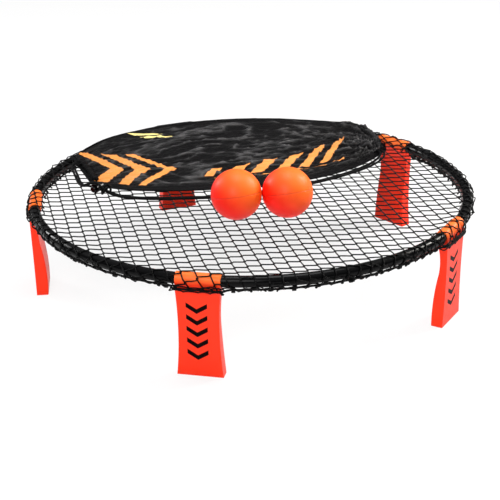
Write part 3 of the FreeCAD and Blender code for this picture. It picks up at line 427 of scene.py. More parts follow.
def bag_cloth(name, tone, ink):
    """Satin polyester with a fine weave, a painted highlight along the ridges of its creases, and a printed
    pattern of chevrons, slanted bars and strokes.
    """
    material, nodes, shader = new_material(name)
    uv = nodes.add("ShaderNodeUVMap", uv_map="UVMap").outputs[0]
    along, across, _ = nodes.parts(uv)
    place = nodes.object_place()

    def bands(value, *limits, soft=0.0006):
        """1 where the value lies between the limits of a band."""
        return functools.reduce(nodes.most, [nodes.times(
            nodes.step(value, low - soft, low + soft), nodes.step(value, high - soft, high + soft, 1.0, 0.0))
            for low, high in limits])

    # three chevrons near the mouth, pointing along the bag
    middle = nodes.size(nodes.minus(across, 0.128))
    arrow = nodes.line(middle, 0.72, along)
    chevrons = nodes.times(nodes.step(middle, 0.0990, 0.1002, 1.0, 0.0),
                           bands(arrow, (0.094, 0.132), (0.163, 0.196), (0.224, 0.243)))
    # a row of slanted bars further along, taller towards the corner, over a thin line
    slant = nodes.line(across, -0.45, along)
    repeat = nodes.fraction(nodes.over(slant, 0.040))
    tall = nodes.times(nodes.step(across, 0.0724, 0.0736),
                       nodes.below(across, nodes.line(along, 0.30, 0.022)))
    bars = nodes.times(bands(repeat, (0.16, 0.66), soft=0.02),
                       nodes.times(tall, bands(slant, (0.252, 0.470))))
    line = nodes.times(bands(along, (0.300, 0.535)), bands(across, (0.0575, 0.0620)))
    # two short pale strokes by the back edge
    leaning = nodes.line(across, 0.9, along)
    pale = nodes.times(bands(leaning, (0.520, 0.572)), bands(across, (0.345, 0.357), (0.367, 0.381)))
    worn = nodes.step(nodes.noise(place, 420.0, 5.0).outputs["Fac"], 0.28, 0.36, 0.75, 1.0)
    mask = nodes.times(nodes.most(chevrons, nodes.most(bars, line)), worn)

    threads = [nodes.sine(nodes.times(way, 6200.0)) for way in (along, across)]
    weave = nodes.times(nodes.plus(*threads), 0.25)
    stretched = nodes.add("ShaderNodeMapping", {0: uv, 3: (26.0, 62.0, 1.0)}).outputs[0]
    creases = nodes.noise(stretched, 1.0, 6.0, Roughness=0.62, Distortion=0.8)
    sheen_fold = nodes.add("ShaderNodeAttribute", attribute_name="sheen_fold").outputs["Fac"]
    # painted highlight: cloth on the crease ridges is tinted lighter grey
    lit = nodes.tinted(nodes.step(sheen_fold, 0.30, 1.0, 0.0, 0.75),
                       blotched(nodes, place, 30.0, tone, 0.75, 1.35), LIT_CLOTH)
    printed = nodes.tinted(mask, lit, blotched(nodes, place, 45.0, ink, 0.88, 1.06))
    dressed(nodes, shader, nodes.tinted(pale, printed, PRINT_YELLOW),
            nodes.plus(nodes.times(creases.outputs["Fac"], 9.0), weave), 0.0006,
            nodes.mix(mask, nodes.step(sheen_fold, 0.3, 0.9, 0.46, 0.30), 0.5),
            nodes.step(sheen_fold, 0.15, 0.9, 0.05, 0.45))
    return material


def finish_node(name, material):
    """Gives a CAD node its finish."""
    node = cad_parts[name]
    node.data.materials.clear()
    node.data.materials.append(material)


# Tubes that follow a route
def tube_along(name, points, radius, sides=12):
    """A round tube along points, closed at both ends, with UV in metres along it."""
    rings, lengths, run, previous = [], [], 0.0, None
    for index, point in enumerate(points):
        ahead = points[min(index + 1, len(points) - 1)] - points[max(index - 1, 0)]
        ahead.normalize()
        if previous is None:
            side = ahead.cross(Vector((0, 0, 1))).normalized()
        else:
            side = (previous - ahead * previous.dot(ahead)).normalized()
        over = ahead.cross(side)
        previous = side
        if index:
            run += (point - points[index - 1]).length
        lengths.append(run)
        turns = [math.tau * k / sides for k in range(sides)]
        rings.append([point + (side * math.cos(turn) + over * math.sin(turn)) * radius for turn in turns])
    vertices = [vertex for ring in rings for vertex in ring]
    faces, uvs = [], []
    for index in range(len(rings) - 1):
        here, there = index * sides, (index + 1) * sides
        start, end = lengths[index], lengths[index + 1]
        for k in range(sides):
            after = (k + 1) % sides
            low, high = k / sides, (k + 1) / sides
            faces.append((here + k, here + after, there + after, there + k))
            uvs.append(((start, low), (start, high), (end, high), (end, low)))
    last = (len(rings) - 1) * sides
    for start, order in ((0, range(sides - 1, -1, -1)), (last, range(sides))):
        faces.append(tuple(start + k for k in order))
        uvs.append(tuple((lengths[0] if start == 0 else lengths[-1], k / sides) for k in order))
    return mesh_from(name, vertices, faces, uvs)


def route_line(points):
    """Points along the smooth NURBS line of a route."""
    curve = bpy.data.curves.new("route", "CURVE")
    curve.dimensions = "3D"
    spline = curve.splines.new("NURBS")
    spline.points.add(len(points) - 1)
    for target, point in zip(spline.points, points):
        target.co = (*point, 1)
    spline.order_u = 3
    spline.use_endpoint_u = True
    spline.resolution_u = 10
    holder = linked("route", curve)
    mesh = evaluated_mesh(holder)
    line = [vertex.co.copy() for vertex in mesh.vertices]
    bpy.data.objects.remove(holder)
    bpy.data.meshes.remove(mesh)
    return line


class ROUNDNET_OT_stage(bpy.types.Operator):
    """Makes the camera, the floor and the light"""
    bl_idname = "roundnet.stage"
    bl_label = "Stage"

    # place, power in watts, size in metres and tint of each lamp
    LAMPS = {"right_lamp": ((2.3, 0.9, 1.9), 95, 0.9, (1.0, 0.96, 0.90)),
             "left_lamp": ((-2.4, 1.3, 1.5), 42, 0.8, (1.0, 1.0, 1.0)),
             "front_lamp": ((-0.8, -3.0, 2.2), 66, 2.0, (1.0, 0.99, 0.98)),
             "top_lamp": ((0.2, 0.3, 2.8), 40, 1.6, (1.0, 1.0, 1.0))}
    LIT_POINT = Vector((0, 0, 0.15))
    FLOOR_GLOW = 0.84
    FLOOR_LEVEL = -0.0006

    def execute(self, context):
        view = settings().view
        lens = bpy.data.cameras.new("Camera")
        lens.sensor_width, lens.lens = 36.0, view.lens
        lens.shift_x, lens.shift_y = view.shift_x, view.shift_y
        camera = linked("Camera", lens)
        place = Vector((0, -view.distance * math.cos(view.elevation),
                        view.distance * math.sin(view.elevation)))
        camera.location = place
        turn = (-place).to_track_quat("-Z", "Y").to_matrix().to_4x4()
        camera.rotation_euler = (turn @ Matrix.Rotation(view.roll, 4, "Z")).to_euler()
        context.scene.camera = camera

        floor = linked("floor", mesh_from("floor", [
            (x, y, self.FLOOR_LEVEL) for x, y in ((-9, -9), (9, -9), (9, 12), (-9, 12))], [(0, 1, 2, 3)]))
        floor.data.materials.append(self.white_floor())
        self.lamps()
        self.sky(context)
        context.scene.view_settings.view_transform = "Standard"
        return {"FINISHED"}

    def white_floor(self):
        """Pale and matt, and near to white where the camera, gloss or glass sees it."""
        material, nodes, shader = new_material("white_floor")
        shader.inputs["Base Color"].default_value = (0.86, 0.86, 0.86, 1)
        shader.inputs["Roughness"].default_value = 0.9
        rays = nodes.add("ShaderNodeLightPath").outputs
        seen = functools.reduce(nodes.most, [rays[f"Is {kind} Ray"] for kind in (
            "Camera", "Glossy", "Transmission")])
        glow = nodes.add("ShaderNodeEmission", {"Color": (1, 1, 1, 1), "Strength": 1.0})
        blend = nodes.add("ShaderNodeMixShader", {0: nodes.times(seen, self.FLOOR_GLOW),
                                                  1: shader.outputs[0], 2: glow.outputs[0]})
        out = next(node for node in nodes.tree.nodes if node.type == "OUTPUT_MATERIAL")
        nodes.join((blend.outputs[0], out.inputs["Surface"]))
        return material

    def lamps(self):
        for name, (place, power, size, tint) in self.LAMPS.items():
            lamp = bpy.data.lights.new(name, "AREA")
            lamp.shape, lamp.size, lamp.energy, lamp.color = "DISK", size, power, tint
            holder = linked(name, lamp)
            holder.location = place
            holder.rotation_euler = (self.LIT_POINT - Vector(place)).to_track_quat("-Z", "Y").to_euler()

    def sky(self, context):
        """A studio that is brighter overhead than at the sides, and white to the camera."""
        world = bpy.data.worlds.new("studio")
        context.scene.world = world
        world.use_nodes = True
        world.node_tree.nodes.clear()
        nodes = Nodes(world.node_tree)
        rays = nodes.add("ShaderNodeLightPath").outputs
        up = nodes.parts(nodes.add("ShaderNodeTexCoord").outputs["Generated"])[2]
        overhead = nodes.step(up, 0.1, 0.85, 0.10, 0.62)
        soft = nodes.add("ShaderNodeBackground", {"Color": (0.97, 0.98, 1.0, 1), "Strength": overhead})
        white = nodes.add("ShaderNodeBackground", {"Color": (1, 1, 1, 1), "Strength": 1.0})
        blend = nodes.add("ShaderNodeMixShader", {0: rays["Is Camera Ray"], 1: soft.outputs[0],
                                                  2: white.outputs[0]})
        nodes.add("ShaderNodeOutputWorld", {"Surface": blend.outputs[0]})


class ROUNDNET_OT_drawcord(bpy.types.Operator):
    """Makes the bag's drawcord and finishes its cord lock"""
    bl_idname = "roundnet.drawcord"
    bl_label = "Drawcord"

    # the second strand's start in the hem and its way across the first strand
    HEM_START = [Vector((-0.3667, 0.1280, 0.2107)), Vector((-0.3805, 0.1262, 0.2150))]
    OVER_LOCK = 0.0070
    KNOT_MIDDLE = Vector((-0.3000, -0.0350, NET_TOP + 0.0125))
    KNOT_SIZE = 0.0042

    def execute(self, context):
        colours = settings().colours
        line = route_line(CORD_ROUTE)
        cord = linked("drawcord_braid", tube_along("drawcord_braid", line, CORD_RADIUS))
        braid = braided_cord("black_braid", colours.cord)
        cord.data.materials.append(braid)
        lock = moulded_plastic("black_lock_plastic", colours.rim, 0.24, 700.0)
        for name in ("cord_lock_body", "cord_lock_button"):
            finish_node(name, lock)
        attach(cord, "bag")
        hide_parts("drawcord")
        for name, points in (("drawcord_second_strand", self.second_strand()),
                             ("drawcord_knot", self.knot())):
            extra = linked(name, tube_along(name, points, CORD_RADIUS))
            extra.data.materials.append(braid)
            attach(extra, "bag")
        return {"FINISHED"}

    def second_strand(self):
        """The cord's other half, which lies beside the first from the hem to the bag's far corner."""
        places, last = [], len(CORD_ROUTE) - 1
        for number, point in enumerate(CORD_ROUTE[2:]):
            ahead = Vector(CORD_ROUTE[min(number + 3, last)]) - Vector(CORD_ROUTE[number + 1])
            aside = Vector((ahead.y, -ahead.x, 0)).normalized()
            share = number / (last - 2)
            apart = 0.0056 + 0.012 * max(0.0, share - 0.5) * math.sin(share * 9) ** 2
            places.append(Vector(point) + aside * apart)
        # over the lock's barrel, which holds only the first strand
        before, after = places[4], places[5]
        before.z += self.OVER_LOCK
        after.z += self.OVER_LOCK
        places.insert(5, (before + after) / 2 + Vector((0, 0, self.OVER_LOCK)))
        return route_line(self.HEM_START + places)

    def knot(self):
        """An overhand knot that keeps the lock on the cord."""
        points, steps = [], 96
        for number in range(steps + 1):
            turn = math.tau * number / steps
            way = (math.sin(turn) + 2 * math.sin(2 * turn), math.cos(turn) - 2 * math.cos(2 * turn),
                   -1.4 * math.sin(3 * turn))
            points.append(self.KNOT_MIDDLE + Vector([self.KNOT_SIZE * part for part in way]))
        return points


class ROUNDNET_OT_net(bpy.types.Operator):
    """Makes the stretched net, whose cords go over the rim to the edge rope, and the lace round the rim"""
    bl_idname = "roundnet.net"
    bl_label = "Net"

    # how each lace runs: loops round the rim, their size, and their place away from and by a leg
    LACES = {
        "rope_lace": {"Waves": 116, "Reach": 0.0018, "Drop": 0.0034, "Loop": 0.0062, "Out": 0.4480,
                      "Out by a leg": 0.4626, "Up": 0.1722, "Up by a leg": 0.1726},
        "inner_lace": {"Waves": 97, "Reach": 0.0022, "Drop": 0.0044, "Loop": 0.0068, "Out": 0.4352,
                       "Out by a leg": 0.4302, "Up": 0.1818, "Up by a leg": 0.1900},
        "band_lace": {"Waves": 131, "Reach": 0.0020, "Drop": 0.0040, "Loop": 0.0078, "Out": 0.4520,
                      "Out by a leg": 0.4622, "Up": 0.1765, "Up by a leg": 0.1800}}

    def execute(self, context):
        net = settings().net
        material = twisted_cord("net_cord", settings().colours.cord)
        piece = grown("net_cords", self.net_tree(material), {
            "Mesh": net.pitch, "Cord": net.cord, "Turn": net.turn, "Wrap": net.spare,
            "Wander": net.wander, "Jog": net.jog, "Seed": net.seed}, material)
        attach(piece, "frame")
        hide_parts("net", "net_edge")
        lace_tree = self.lace_tree(material)
        for name, values in self.LACES.items():
            lace = grown(name, lace_tree, {**values, "Cord": net.cord, "Seed": net.seed}, material)
            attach(lace, "frame")
        return {"FINISHED"}

    def lace_tree(self, material):
        """A cord that curls round the rim in small loops, further out where it passes a leg."""
        tree, nodes, given, out = new_tree("lace", (
            "Waves", "Reach", "Drop", "Loop", "Out", "Out by a leg", "Up", "Up by a leg", "Cord"))
        circle = nodes.add("GeometryNodeCurvePrimitiveCircle", {"Resolution": 2600, "Radius": 1.0})
        place = nodes.add("GeometryNodeInputPosition").outputs[0]
        x, y, _ = nodes.parts(place)
        angle = nodes.arctan2(y, x)
        uneven = nodes.noise(place, 16.0, 1.0, W=given["Seed"]).outputs["Fac"]
        phase = nodes.line(uneven, 7.0, nodes.times(angle, given["Waves"]))
        size = nodes.step(uneven, 0.3, 0.7, 0.45, 1.25)
        by_leg = nodes.step(nodes.off_leg(angle), 6.1, 8.0, 1.0, 0.0)
        away = nodes.line(nodes.cosine(phase), given["Reach"],
                          nodes.mix(by_leg, given["Out"], given["Out by a leg"]))
        up = nodes.line(nodes.times(nodes.cosine(phase), size), given["Drop"],
                        nodes.mix(by_leg, given["Up"], given["Up by a leg"]))
        turn = nodes.line(nodes.times(nodes.sine(phase), size), nodes.over(given["Loop"], RIM_RADIUS), angle)
        moved = nodes.vector(nodes.times(away, nodes.cosine(turn)), nodes.times(away, nodes.sine(turn)), up)
        line = nodes.add("GeometryNodeSetPosition", {"Geometry": circle.outputs[0], "Position": moved})
        finished_tree(nodes, self.cord_along(nodes, line, given["Cord"], False), material, out)
        return tree

    def cord_along(self, nodes, line, radius, capped):
        ring = nodes.add("GeometryNodeCurvePrimitiveCircle", {"Resolution": 5, "Radius": radius})
        return nodes.add("GeometryNodeCurveToMesh", {
            "Curve": line.outputs[0], "Profile Curve": ring.outputs[0], "Fill Caps": capped}).outputs[0]

    def net_tree(self, material):
        tree, nodes, given, out = new_tree("stretched_net", ("Mesh", "Cord", "Turn", "Wrap", "Wander", "Jog"))
        pitch, cord, turn = given["Mesh"], given["Cord"], given["Turn"]
        edge = nodes.plus(given["Wrap"], RIM_RADIUS)
        count = nodes.line(nodes.floor(nodes.over(edge, pitch)), 2.0, 1.0)
        first = nodes.times(nodes.times(nodes.minus(count, 1.0), -0.5), pitch)

        # lines one mesh apart, each as long as the round net is there
        rows = nodes.add("GeometryNodeMeshLine", {
            "Count": count, "Start Location": nodes.vector(y=first), "Offset": nodes.vector(y=pitch)},
            mode="OFFSET")
        place = nodes.add("GeometryNodeInputPosition").outputs[0]
        x, y, _ = nodes.parts(place)
        half = nodes.root(nodes.most(nodes.minus(nodes.power(edge, 2.0), nodes.power(y, 2.0)), 0.0))
        unit = nodes.add("GeometryNodeCurvePrimitiveLine", {"Start": (-1, 0, 0), "End": (1, 0, 0)})
        lines = nodes.add("GeometryNodeInstanceOnPoints", {
            "Points": rows.outputs[0], "Instance": unit.outputs[0], "Scale": nodes.vector(half, 1.0, 1.0)})
        laid = nodes.add("GeometryNodeRealizeInstances", {0: lines.outputs[0]}).outputs[0]
        cut = nodes.add("GeometryNodeResampleCurve", {"Curve": laid, "Length": nodes.over(pitch, 6.0)},
                        mode="LENGTH")

        # each cord steps aside at every crossing, the way the yarns of a knotless mesh do
        saw = nodes.minus(0.5, nodes.fraction(nodes.over(x, pitch)))
        both = nodes.add("GeometryNodeJoinGeometry")
        for quarter, jog in ((0.0, given["Jog"]), (math.pi / 2, nodes.times(given["Jog"], -0.25))):
            stepped = nodes.add("GeometryNodeSetPosition", {
                "Geometry": cut.outputs[0], "Offset": nodes.vector(y=nodes.times(saw, jog))})
            spun = nodes.add("GeometryNodeTransform", {
                "Geometry": stepped.outputs[0], "Rotation": nodes.vector(z=nodes.plus(turn, quarter))})
            nodes.join((spun.outputs[0], both.inputs[0]))

        # knots where they cross
        side = nodes.times(first, -2.0)
        grid = nodes.add("GeometryNodeMeshGrid", {"Size X": side, "Size Y": side,
                                                  "Vertices X": count, "Vertices Y": count})
        turned = nodes.add("GeometryNodeTransform", {"Geometry": grid.outputs[0],
                                                     "Rotation": nodes.vector(z=turn)})
        reach = nodes.add("ShaderNodeVectorMath", {0: place}, operation="LENGTH").outputs["Value"]
        outside = nodes.add("FunctionNodeCompare", {0: reach, 1: nodes.minus(edge, 0.004)},
                            data_type="FLOAT", operation="GREATER_THAN").outputs[0]
        crossings = nodes.add("GeometryNodeDeleteGeometry", {
            "Geometry": turned.outputs[0], "Selection": outside}, domain="POINT")

        wrapped = self.over_the_rim(nodes, place, edge, cord, given["Wander"], given["Seed"])
        net_lines, knot_places = [
            nodes.add("GeometryNodeSetPosition", {"Geometry": flat.outputs[0], "Position": wrapped})
            for flat in (both, crossings)]
        cords = self.cord_along(nodes, net_lines, cord, True)
        lump = nodes.add("GeometryNodeMeshIcoSphere", {"Radius": nodes.times(cord, 1.75), "Subdivisions": 1})
        knots = nodes.add("GeometryNodeInstanceOnPoints", {
            "Points": knot_places.outputs[0], "Instance": lump.outputs[0],
            "Rotation": nodes.vector(z=turn), "Scale": (1.25, 1.0, 0.8)})
        everything = nodes.add("GeometryNodeJoinGeometry")
        nodes.join((cords, everything.inputs[0]), (knots.outputs[0], everything.inputs[0]))
        finished_tree(nodes, everything.outputs[0], material, out)
        return tree

    def over_the_rim(self, nodes, place, edge, cord, wander, seed):
        """The place on the stretched net, over the rim and down to the rope, of a point on the flat net."""
        cloud = nodes.noise(place, 21.0, 1.0, W=seed)
        centred = nodes.add("ShaderNodeVectorMath", {0: cloud.outputs["Color"], 1: (0.5, 0.5, 0.5)},
                            operation="SUBTRACT").outputs[0]
        stray = nodes.add("ShaderNodeVectorMath", {0: centred, "Scale": wander}, operation="SCALE").outputs[0]
        flat = nodes.add("ShaderNodeVectorMath", {0: place, 1: stray}, operation="ADD").outputs[0]
        x, y, lift = nodes.parts(flat)
        out = nodes.root(nodes.plus(nodes.power(x, 2.0), nodes.power(y, 2.0)))
        angle = nodes.arctan2(y, x)
        near = nodes.off_leg(angle)
        on_head = nodes.step(near, 5.2, 5.9, 1.0, 0.0)
        by_leg = nodes.step(near, 6.1, 8.0, 1.0, 0.0)
        middle = nodes.mix(on_head, RIM_RADIUS, nodes.over(AXIS_RADIUS, nodes.cosine(nodes.radians(near))))
        wrap = nodes.plus(nodes.mix(on_head, TUBE_RADIUS, HEAD_RADIUS), nodes.plus(cord, 0.0002))
        beyond = nodes.minus(out, middle)

        # round the tube or the head, loosely at places
        last_angle = nodes.mix(by_leg, 2.25, 1.5)
        turned = nodes.least(nodes.most(nodes.over(beyond, wrap), 0.0), last_angle)
        slack = nodes.noise(place, 62.0, 1.0)
        off = nodes.times(nodes.step(slack.outputs["Fac"], 0.42, 0.74, 0.0, 0.0052),
                          nodes.step(turned, 0.35, 1.1))
        loose = nodes.plus(wrap, off)
        arc_out = nodes.line(loose, nodes.sine(turned), middle)
        arc_up = nodes.line(loose, nodes.cosine(turned), RIM_HEIGHT)

        # then straight to the rope
        used = nodes.times(last_angle, wrap)
        left = nodes.minus(nodes.minus(edge, middle), used)
        share = nodes.add("ShaderNodeClamp", {
            0: nodes.over(nodes.minus(beyond, used), nodes.most(left, 0.001))}).outputs[0]
        new_out = nodes.mix(share, arc_out, nodes.mix(by_leg, 0.4462, 0.4612))
        new_up = nodes.mix(share, arc_up, nodes.mix(by_leg, 0.1716, 0.1756))

        # level inside the rim
        level = nodes.mix(nodes.step(beyond, -0.035, 0.0), NET_TOP - 0.0012, nodes.plus(wrap, RIM_HEIGHT))
        level = nodes.plus(level, nodes.times(lift, 0.35))
        over = nodes.above(beyond, 0.0)
        final_out = nodes.mix(over, out, new_out)
        return nodes.vector(nodes.times(final_out, nodes.cosine(angle)),
                            nodes.times(final_out, nodes.sine(angle)), nodes.mix(over, level, new_up))


class ROUNDNET_OT_frame_parts(bpy.types.Operator):
    """Finishes the rim tubes, legs and edge rope"""
    bl_idname = "roundnet.frame_parts"
    bl_label = "Rim, legs and rope"

    def execute(self, context):
        colours = settings().colours
        tube = moulded_plastic("black_rim_plastic", colours.rim, 0.22, gloss=0.1)
        leg = leg_plastic("orange_leg_plastic", colours.leg, colours.cord)
        for number in range(1, 6):
            finish_node(f"rim_tube_{number}", tube)
            finish_node(f"leg_{number}", leg)
        finish_node("edge_rope", twisted_cord("black_rope", colours.cord, 300.0))
        return {"FINISHED"}


class ROUNDNET_OT_balls(bpy.types.Operator):
    """Finishes the two balls and their valves"""
    bl_idname = "roundnet.balls"
    bl_label = "Balls"

    def execute(self, context):
        colours = settings().colours
        valve = moulded_plastic("black_valve_rubber", colours.rim, 0.5, 600.0)
        for index, (name, centre) in enumerate(BALLS.items()):
            finish_node(name, ball_rubber(f"{name}_rubber", colours.ball, colours.ball_painted_highlight, centre,
                                          0.24 + 0.06 * index))
            finish_node(f"ball_valve_{index + 1}", valve)
        return {"FINISHED"}


def within(value, low, high):
    """How far value has come from low to high, from 0 to 1."""
    return min(max((value - low) / (high - low), 0), 1)


def off_edge(s, t, s_steep, t_steep):
    """0 at the sheet's edge, and 1 inside it."""
    return min(min(s, 1 - s) * s_steep, min(t, 1 - t) * t_steep, 1)


class ROUNDNET_OT_bag(bpy.types.Operator):
    """Makes the empty carry bag, which lies crumpled on the net and over the rim"""
    bl_idname = "roundnet.bag"
    bl_label = "Carry bag"

    # the outline's front and back from the mouth to the gathered corner, where the cord ends
    FRONT = [(-0.333, 0.018), (-0.270, -0.010), (-0.205, -0.022), (-0.105, -0.022), (0.010, -0.003),
             (0.124, 0.031), (0.212, 0.089), (0.264, 0.147), (0.305, 0.211)]
    BACK = [(-0.393, 0.184), (-0.366, 0.262), (-0.318, 0.330), (-0.245, 0.391), (-0.150, 0.432),
            (-0.050, 0.4545), (0.060, 0.4535), (0.160, 0.4285), (0.238, 0.385), (0.281, 0.314),
            (0.306, 0.228)]
    GATHER = Vector((0.303, 0.216))
    CLOTH_LENGTH = 0.72
    MOST_SETTLED = 0.024
    # where the UV of cloth without print starts
    PLAIN_UV = 2.0
    HEM_BACK, HEM_FRONT = Vector((-0.3875, 0.1827, 0)), Vector((-0.3300, 0.0313, 0))

    def execute(self, context):
        bag, colours = settings().bag, settings().colours
        cloth = bag_cloth("bag_cloth", colours.bag, colours.print_orange)
        top, uvs, columns, rows = self.top_sheet(bag)
        top = self.settled(top, columns, rows, bag)
        top, uvs, sheen_folds, columns, rows = self.creased(top, uvs, columns, rows, bag)
        shell = self.shell(top, uvs, columns, rows)
        # the crease ridges, which the cloth's material gives a painted highlight and more gloss
        sheen_fold = shell.attributes.new("sheen_fold", "FLOAT", "POINT")
        sheen_fold.data.foreach_set("value", sheen_folds + sheen_folds)
        piece = linked("bag_cloth_shell", shell)
        piece.data.materials.append(cloth)
        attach(piece, "bag")
        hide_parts("bag")
        hem = linked("bag_hem_cloth", self.hem_mesh())
        hem.data.materials.append(cloth)
        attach(hem, "bag")
        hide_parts("bag_hem")
        return {"FINISHED"}

    def along_line(self, places, share):
        """A point on a smooth line through places, by its share of the way."""
        spot = share * (len(places) - 1)
        index = min(int(spot), len(places) - 2)
        t = spot - index
        p = [Vector(places[max(0, min(index + k, len(places) - 1))]) for k in (-1, 0, 1, 2)]
        return 0.5 * ((2 * p[1]) + (p[2] - p[0]) * t + (2 * p[0] - 5 * p[1] + 4 * p[2] - p[3]) * t * t
                      + (3 * p[1] - p[0] - 3 * p[2] + p[3]) * t ** 3)

    def rest_height(self, x, y):
        """Top of what the bag lies on: the net, and the rim with the net wrapped over it."""
        away = math.hypot(x, y)
        degrees = (math.degrees(math.atan2(y, x)) - FIRST_LEG) % LEG_PITCH
        near = min(degrees, LEG_PITCH - degrees)
        on_head = near < ON_HEAD
        middle = AXIS_RADIUS / math.cos(math.radians(near)) if on_head else RIM_RADIUS
        radius = (HEAD_RADIUS if on_head else TUBE_RADIUS) + 0.0026
        gap = away - middle
        if abs(gap) >= radius:
            return NET_TOP + 0.001 if gap < 0 else RIM_HEIGHT - 0.004
        return max(RIM_HEIGHT + math.sqrt(radius ** 2 - gap ** 2), NET_TOP + 0.001 if gap < 0 else 0)

    def from_gather(self, x, y):
        """Distance and direction from the gathered corner."""
        way = Vector((x, y)) - self.GATHER
        return way.length, math.atan2(way.y, way.x)

    def top_sheet(self, bag):
        """The top cloth as it is laid down, puffed a little and pleated by the corner."""
        columns, rows = bag.along + 1, bag.across + 1
        points, uvs = [], []
        for column in range(columns):
            s = column / bag.along
            front, back = self.along_line(self.FRONT, s), self.along_line(self.BACK, s)
            for row in range(rows):
                t = row / bag.across
                x, y = front.lerp(back, t)
                edge = off_edge(s, t, 7.0, 5.0)
                puff = 0.009 * math.sqrt(max(edge, 0))
                crumple = (noise.noise(Vector((s * 5, t * 13, 0.3))) * 0.008
                           + noise.noise(Vector((s * 13, t * 31, 4.1))) * 0.003) * edge
                distance, fan = self.from_gather(x, y)
                pleat = math.sin(fan * 17 + 2.5 * noise.noise(Vector((fan * 3, 0, 7)))) * 0.0042
                pleat *= max(0.0, 1 - distance / 0.17) * min(1.0, distance / 0.03)
                rise = max(puff + crumple + pleat * min(edge * 3, 1), 0.0003)
                points.append(Vector((x, y, self.rest_height(x, y) + 0.0022 + rise)))
                uvs.append((s * self.CLOTH_LENGTH, t * (back - front).length))
        return points, uvs, columns, rows

    def creased(self, points, uvs, columns, rows, bag):
        """The sheet with twice the threads, pressed into sharp creases along the bag and round its corner,
        and the height of each crease ridge, which sets its painted highlight and its gloss.
        """
        fine_columns, fine_rows = 2 * columns - 1, 2 * rows - 1
        finer, finer_uvs, sheen_folds = [], [], []

        def ridge(x, y, z):
            return max(1 - 2.6 * abs(noise.noise(Vector((x, y, z)))), 0.0) ** 3.2

        for column in range(fine_columns):
            for row in range(fine_rows):
                a, b = column // 2, row // 2
                around = [(a + i) * rows + b + j for i in range(1 + column % 2) for j in range(1 + row % 2)]
                point = sum((points[k] for k in around), Vector()) / len(around)
                finer_uvs.append(tuple(sum(uvs[k][axis] for k in around) / len(around) for axis in (0, 1)))
                s, t = column / (fine_columns - 1), row / (fine_rows - 1)
                rough = within(s, 0.70, 0.82)
                edge = min(min(s, 1 - s) * 16, t * 9, (1 - t) * (9 + 14 * rough), 1)
                over_rim = 1 - 0.5 * within(t, 0.80, 0.92) * (1 - rough)
                distance, fan = self.from_gather(point.x, point.y)
                near = max(0.0, 1 - distance / 0.26)
                warp = noise.noise(Vector((s * 4, t * 5, 2.0))) * 0.35
                lengthwise = ridge(s * 3.4 + warp, t * 11 + warp * 5, 1.7) * 0.6
                slanted = ridge(s * 10 + t * 7, t * 12 - s * 9 + warp * 4, 5.2) * 0.6
                small = ridge(s * 25 + t * 12, t * 27 - s * 9, 8.8) * 0.4
                radial = ridge(fan * 8.0 + warp, distance * 7, 3.3) * 1.1
                height = (lengthwise + slanted + small) * (1 - near) + (radial + small + 0.3 * slanted) * near
                calm = 0.35 + 0.65 * within(s, 0.18, 0.43)
                rise = bag.crease * edge * over_rim * calm * (1 + 0.9 * near + 0.3 * rough) * height
                hump = bag.hump * math.exp(-((s - 0.81) / 0.10) ** 2 - ((t - 0.90) / 0.16) ** 2)
                hump *= min((1 - t) * 25, 1)
                finer.append(point + Vector((0, 0, hump + rise)))
                # less painted highlight and gloss on the creases near the gathered corner
                dull = 1 - 0.35 * min(2.2 * near, 1)
                sheen_folds.append(min(max(height * edge * (0.5 + 0.5 * calm) * dull, 0.0), 1.0))
        return finer, finer_uvs, sheen_folds, fine_columns, fine_rows

    def settled(self, points, columns, rows, bag):
        """The sheet after its spare cloth, most of it from front to back, has crumpled on net and rim."""
        faces = [(c * rows + r, (c + 1) * rows + r, (c + 1) * rows + r + 1, c * rows + r + 1)
                 for c in range(columns - 1) for r in range(rows - 1)]
        sheet = linked("bag_settling", mesh_from("bag_settling", points, faces))
        sheet.shape_key_add(name="Basis")
        uncrumpled = sheet.shape_key_add(name="Uncrumpled")
        for index, point in enumerate(points):
            first = points[index - index % rows]
            wide = first + (point - first) * (1 + bag.spare)
            uncrumpled.data[index].co = (wide.x * (1 + bag.spare * 0.18), wide.y, point.z)
        pins = sheet.vertex_groups.new(name="edge")
        pins.add([c * rows + r for c in range(columns) for r in range(rows)
                  if c in (0, columns - 1) or r in (0, rows - 1)], 1.0, "REPLACE")
        under = linked("bag_support", self.support_mesh())
        under.modifiers.new("Collision", "COLLISION")
        under.collision.thickness_outer = 0.001
        under.collision.cloth_friction = 12
        cloth = sheet.modifiers.new("Cloth", "CLOTH")
        for setting, value in {
                "rest_shape_key": uncrumpled, "quality": 7, "mass": 0.12, "tension_stiffness": 22,
                "compression_stiffness": 22, "shear_stiffness": 9, "bending_stiffness": 0.02,
                "vertex_group_mass": "edge", "use_pressure": True, "uniform_pressure_force": 0.12}.items():
            setattr(cloth.settings, setting, value)
        cloth.collision_settings.distance_min = 0.0015
        cloth.collision_settings.use_self_collision = True
        cloth.collision_settings.self_distance_min = 0.001
        cloth.point_cache.frame_start, cloth.point_cache.frame_end = 1, bag.steps
        scene = bpy.context.scene
        scene.frame_start, scene.frame_end = 1, bag.steps
        for step in range(1, bag.steps + 1):
            scene.frame_set(step)
        moved = [vertex.co.copy() for vertex in evaluated_mesh(sheet).vertices]
        for thing in (sheet, under):
            bpy.data.objects.remove(thing)
        scene.frame_set(1)
        ways = [(start, end - start) for start, end in zip(points, moved)]
        return [start + way.normalized() * min(way.length, self.MOST_SETTLED) for start, way in ways]

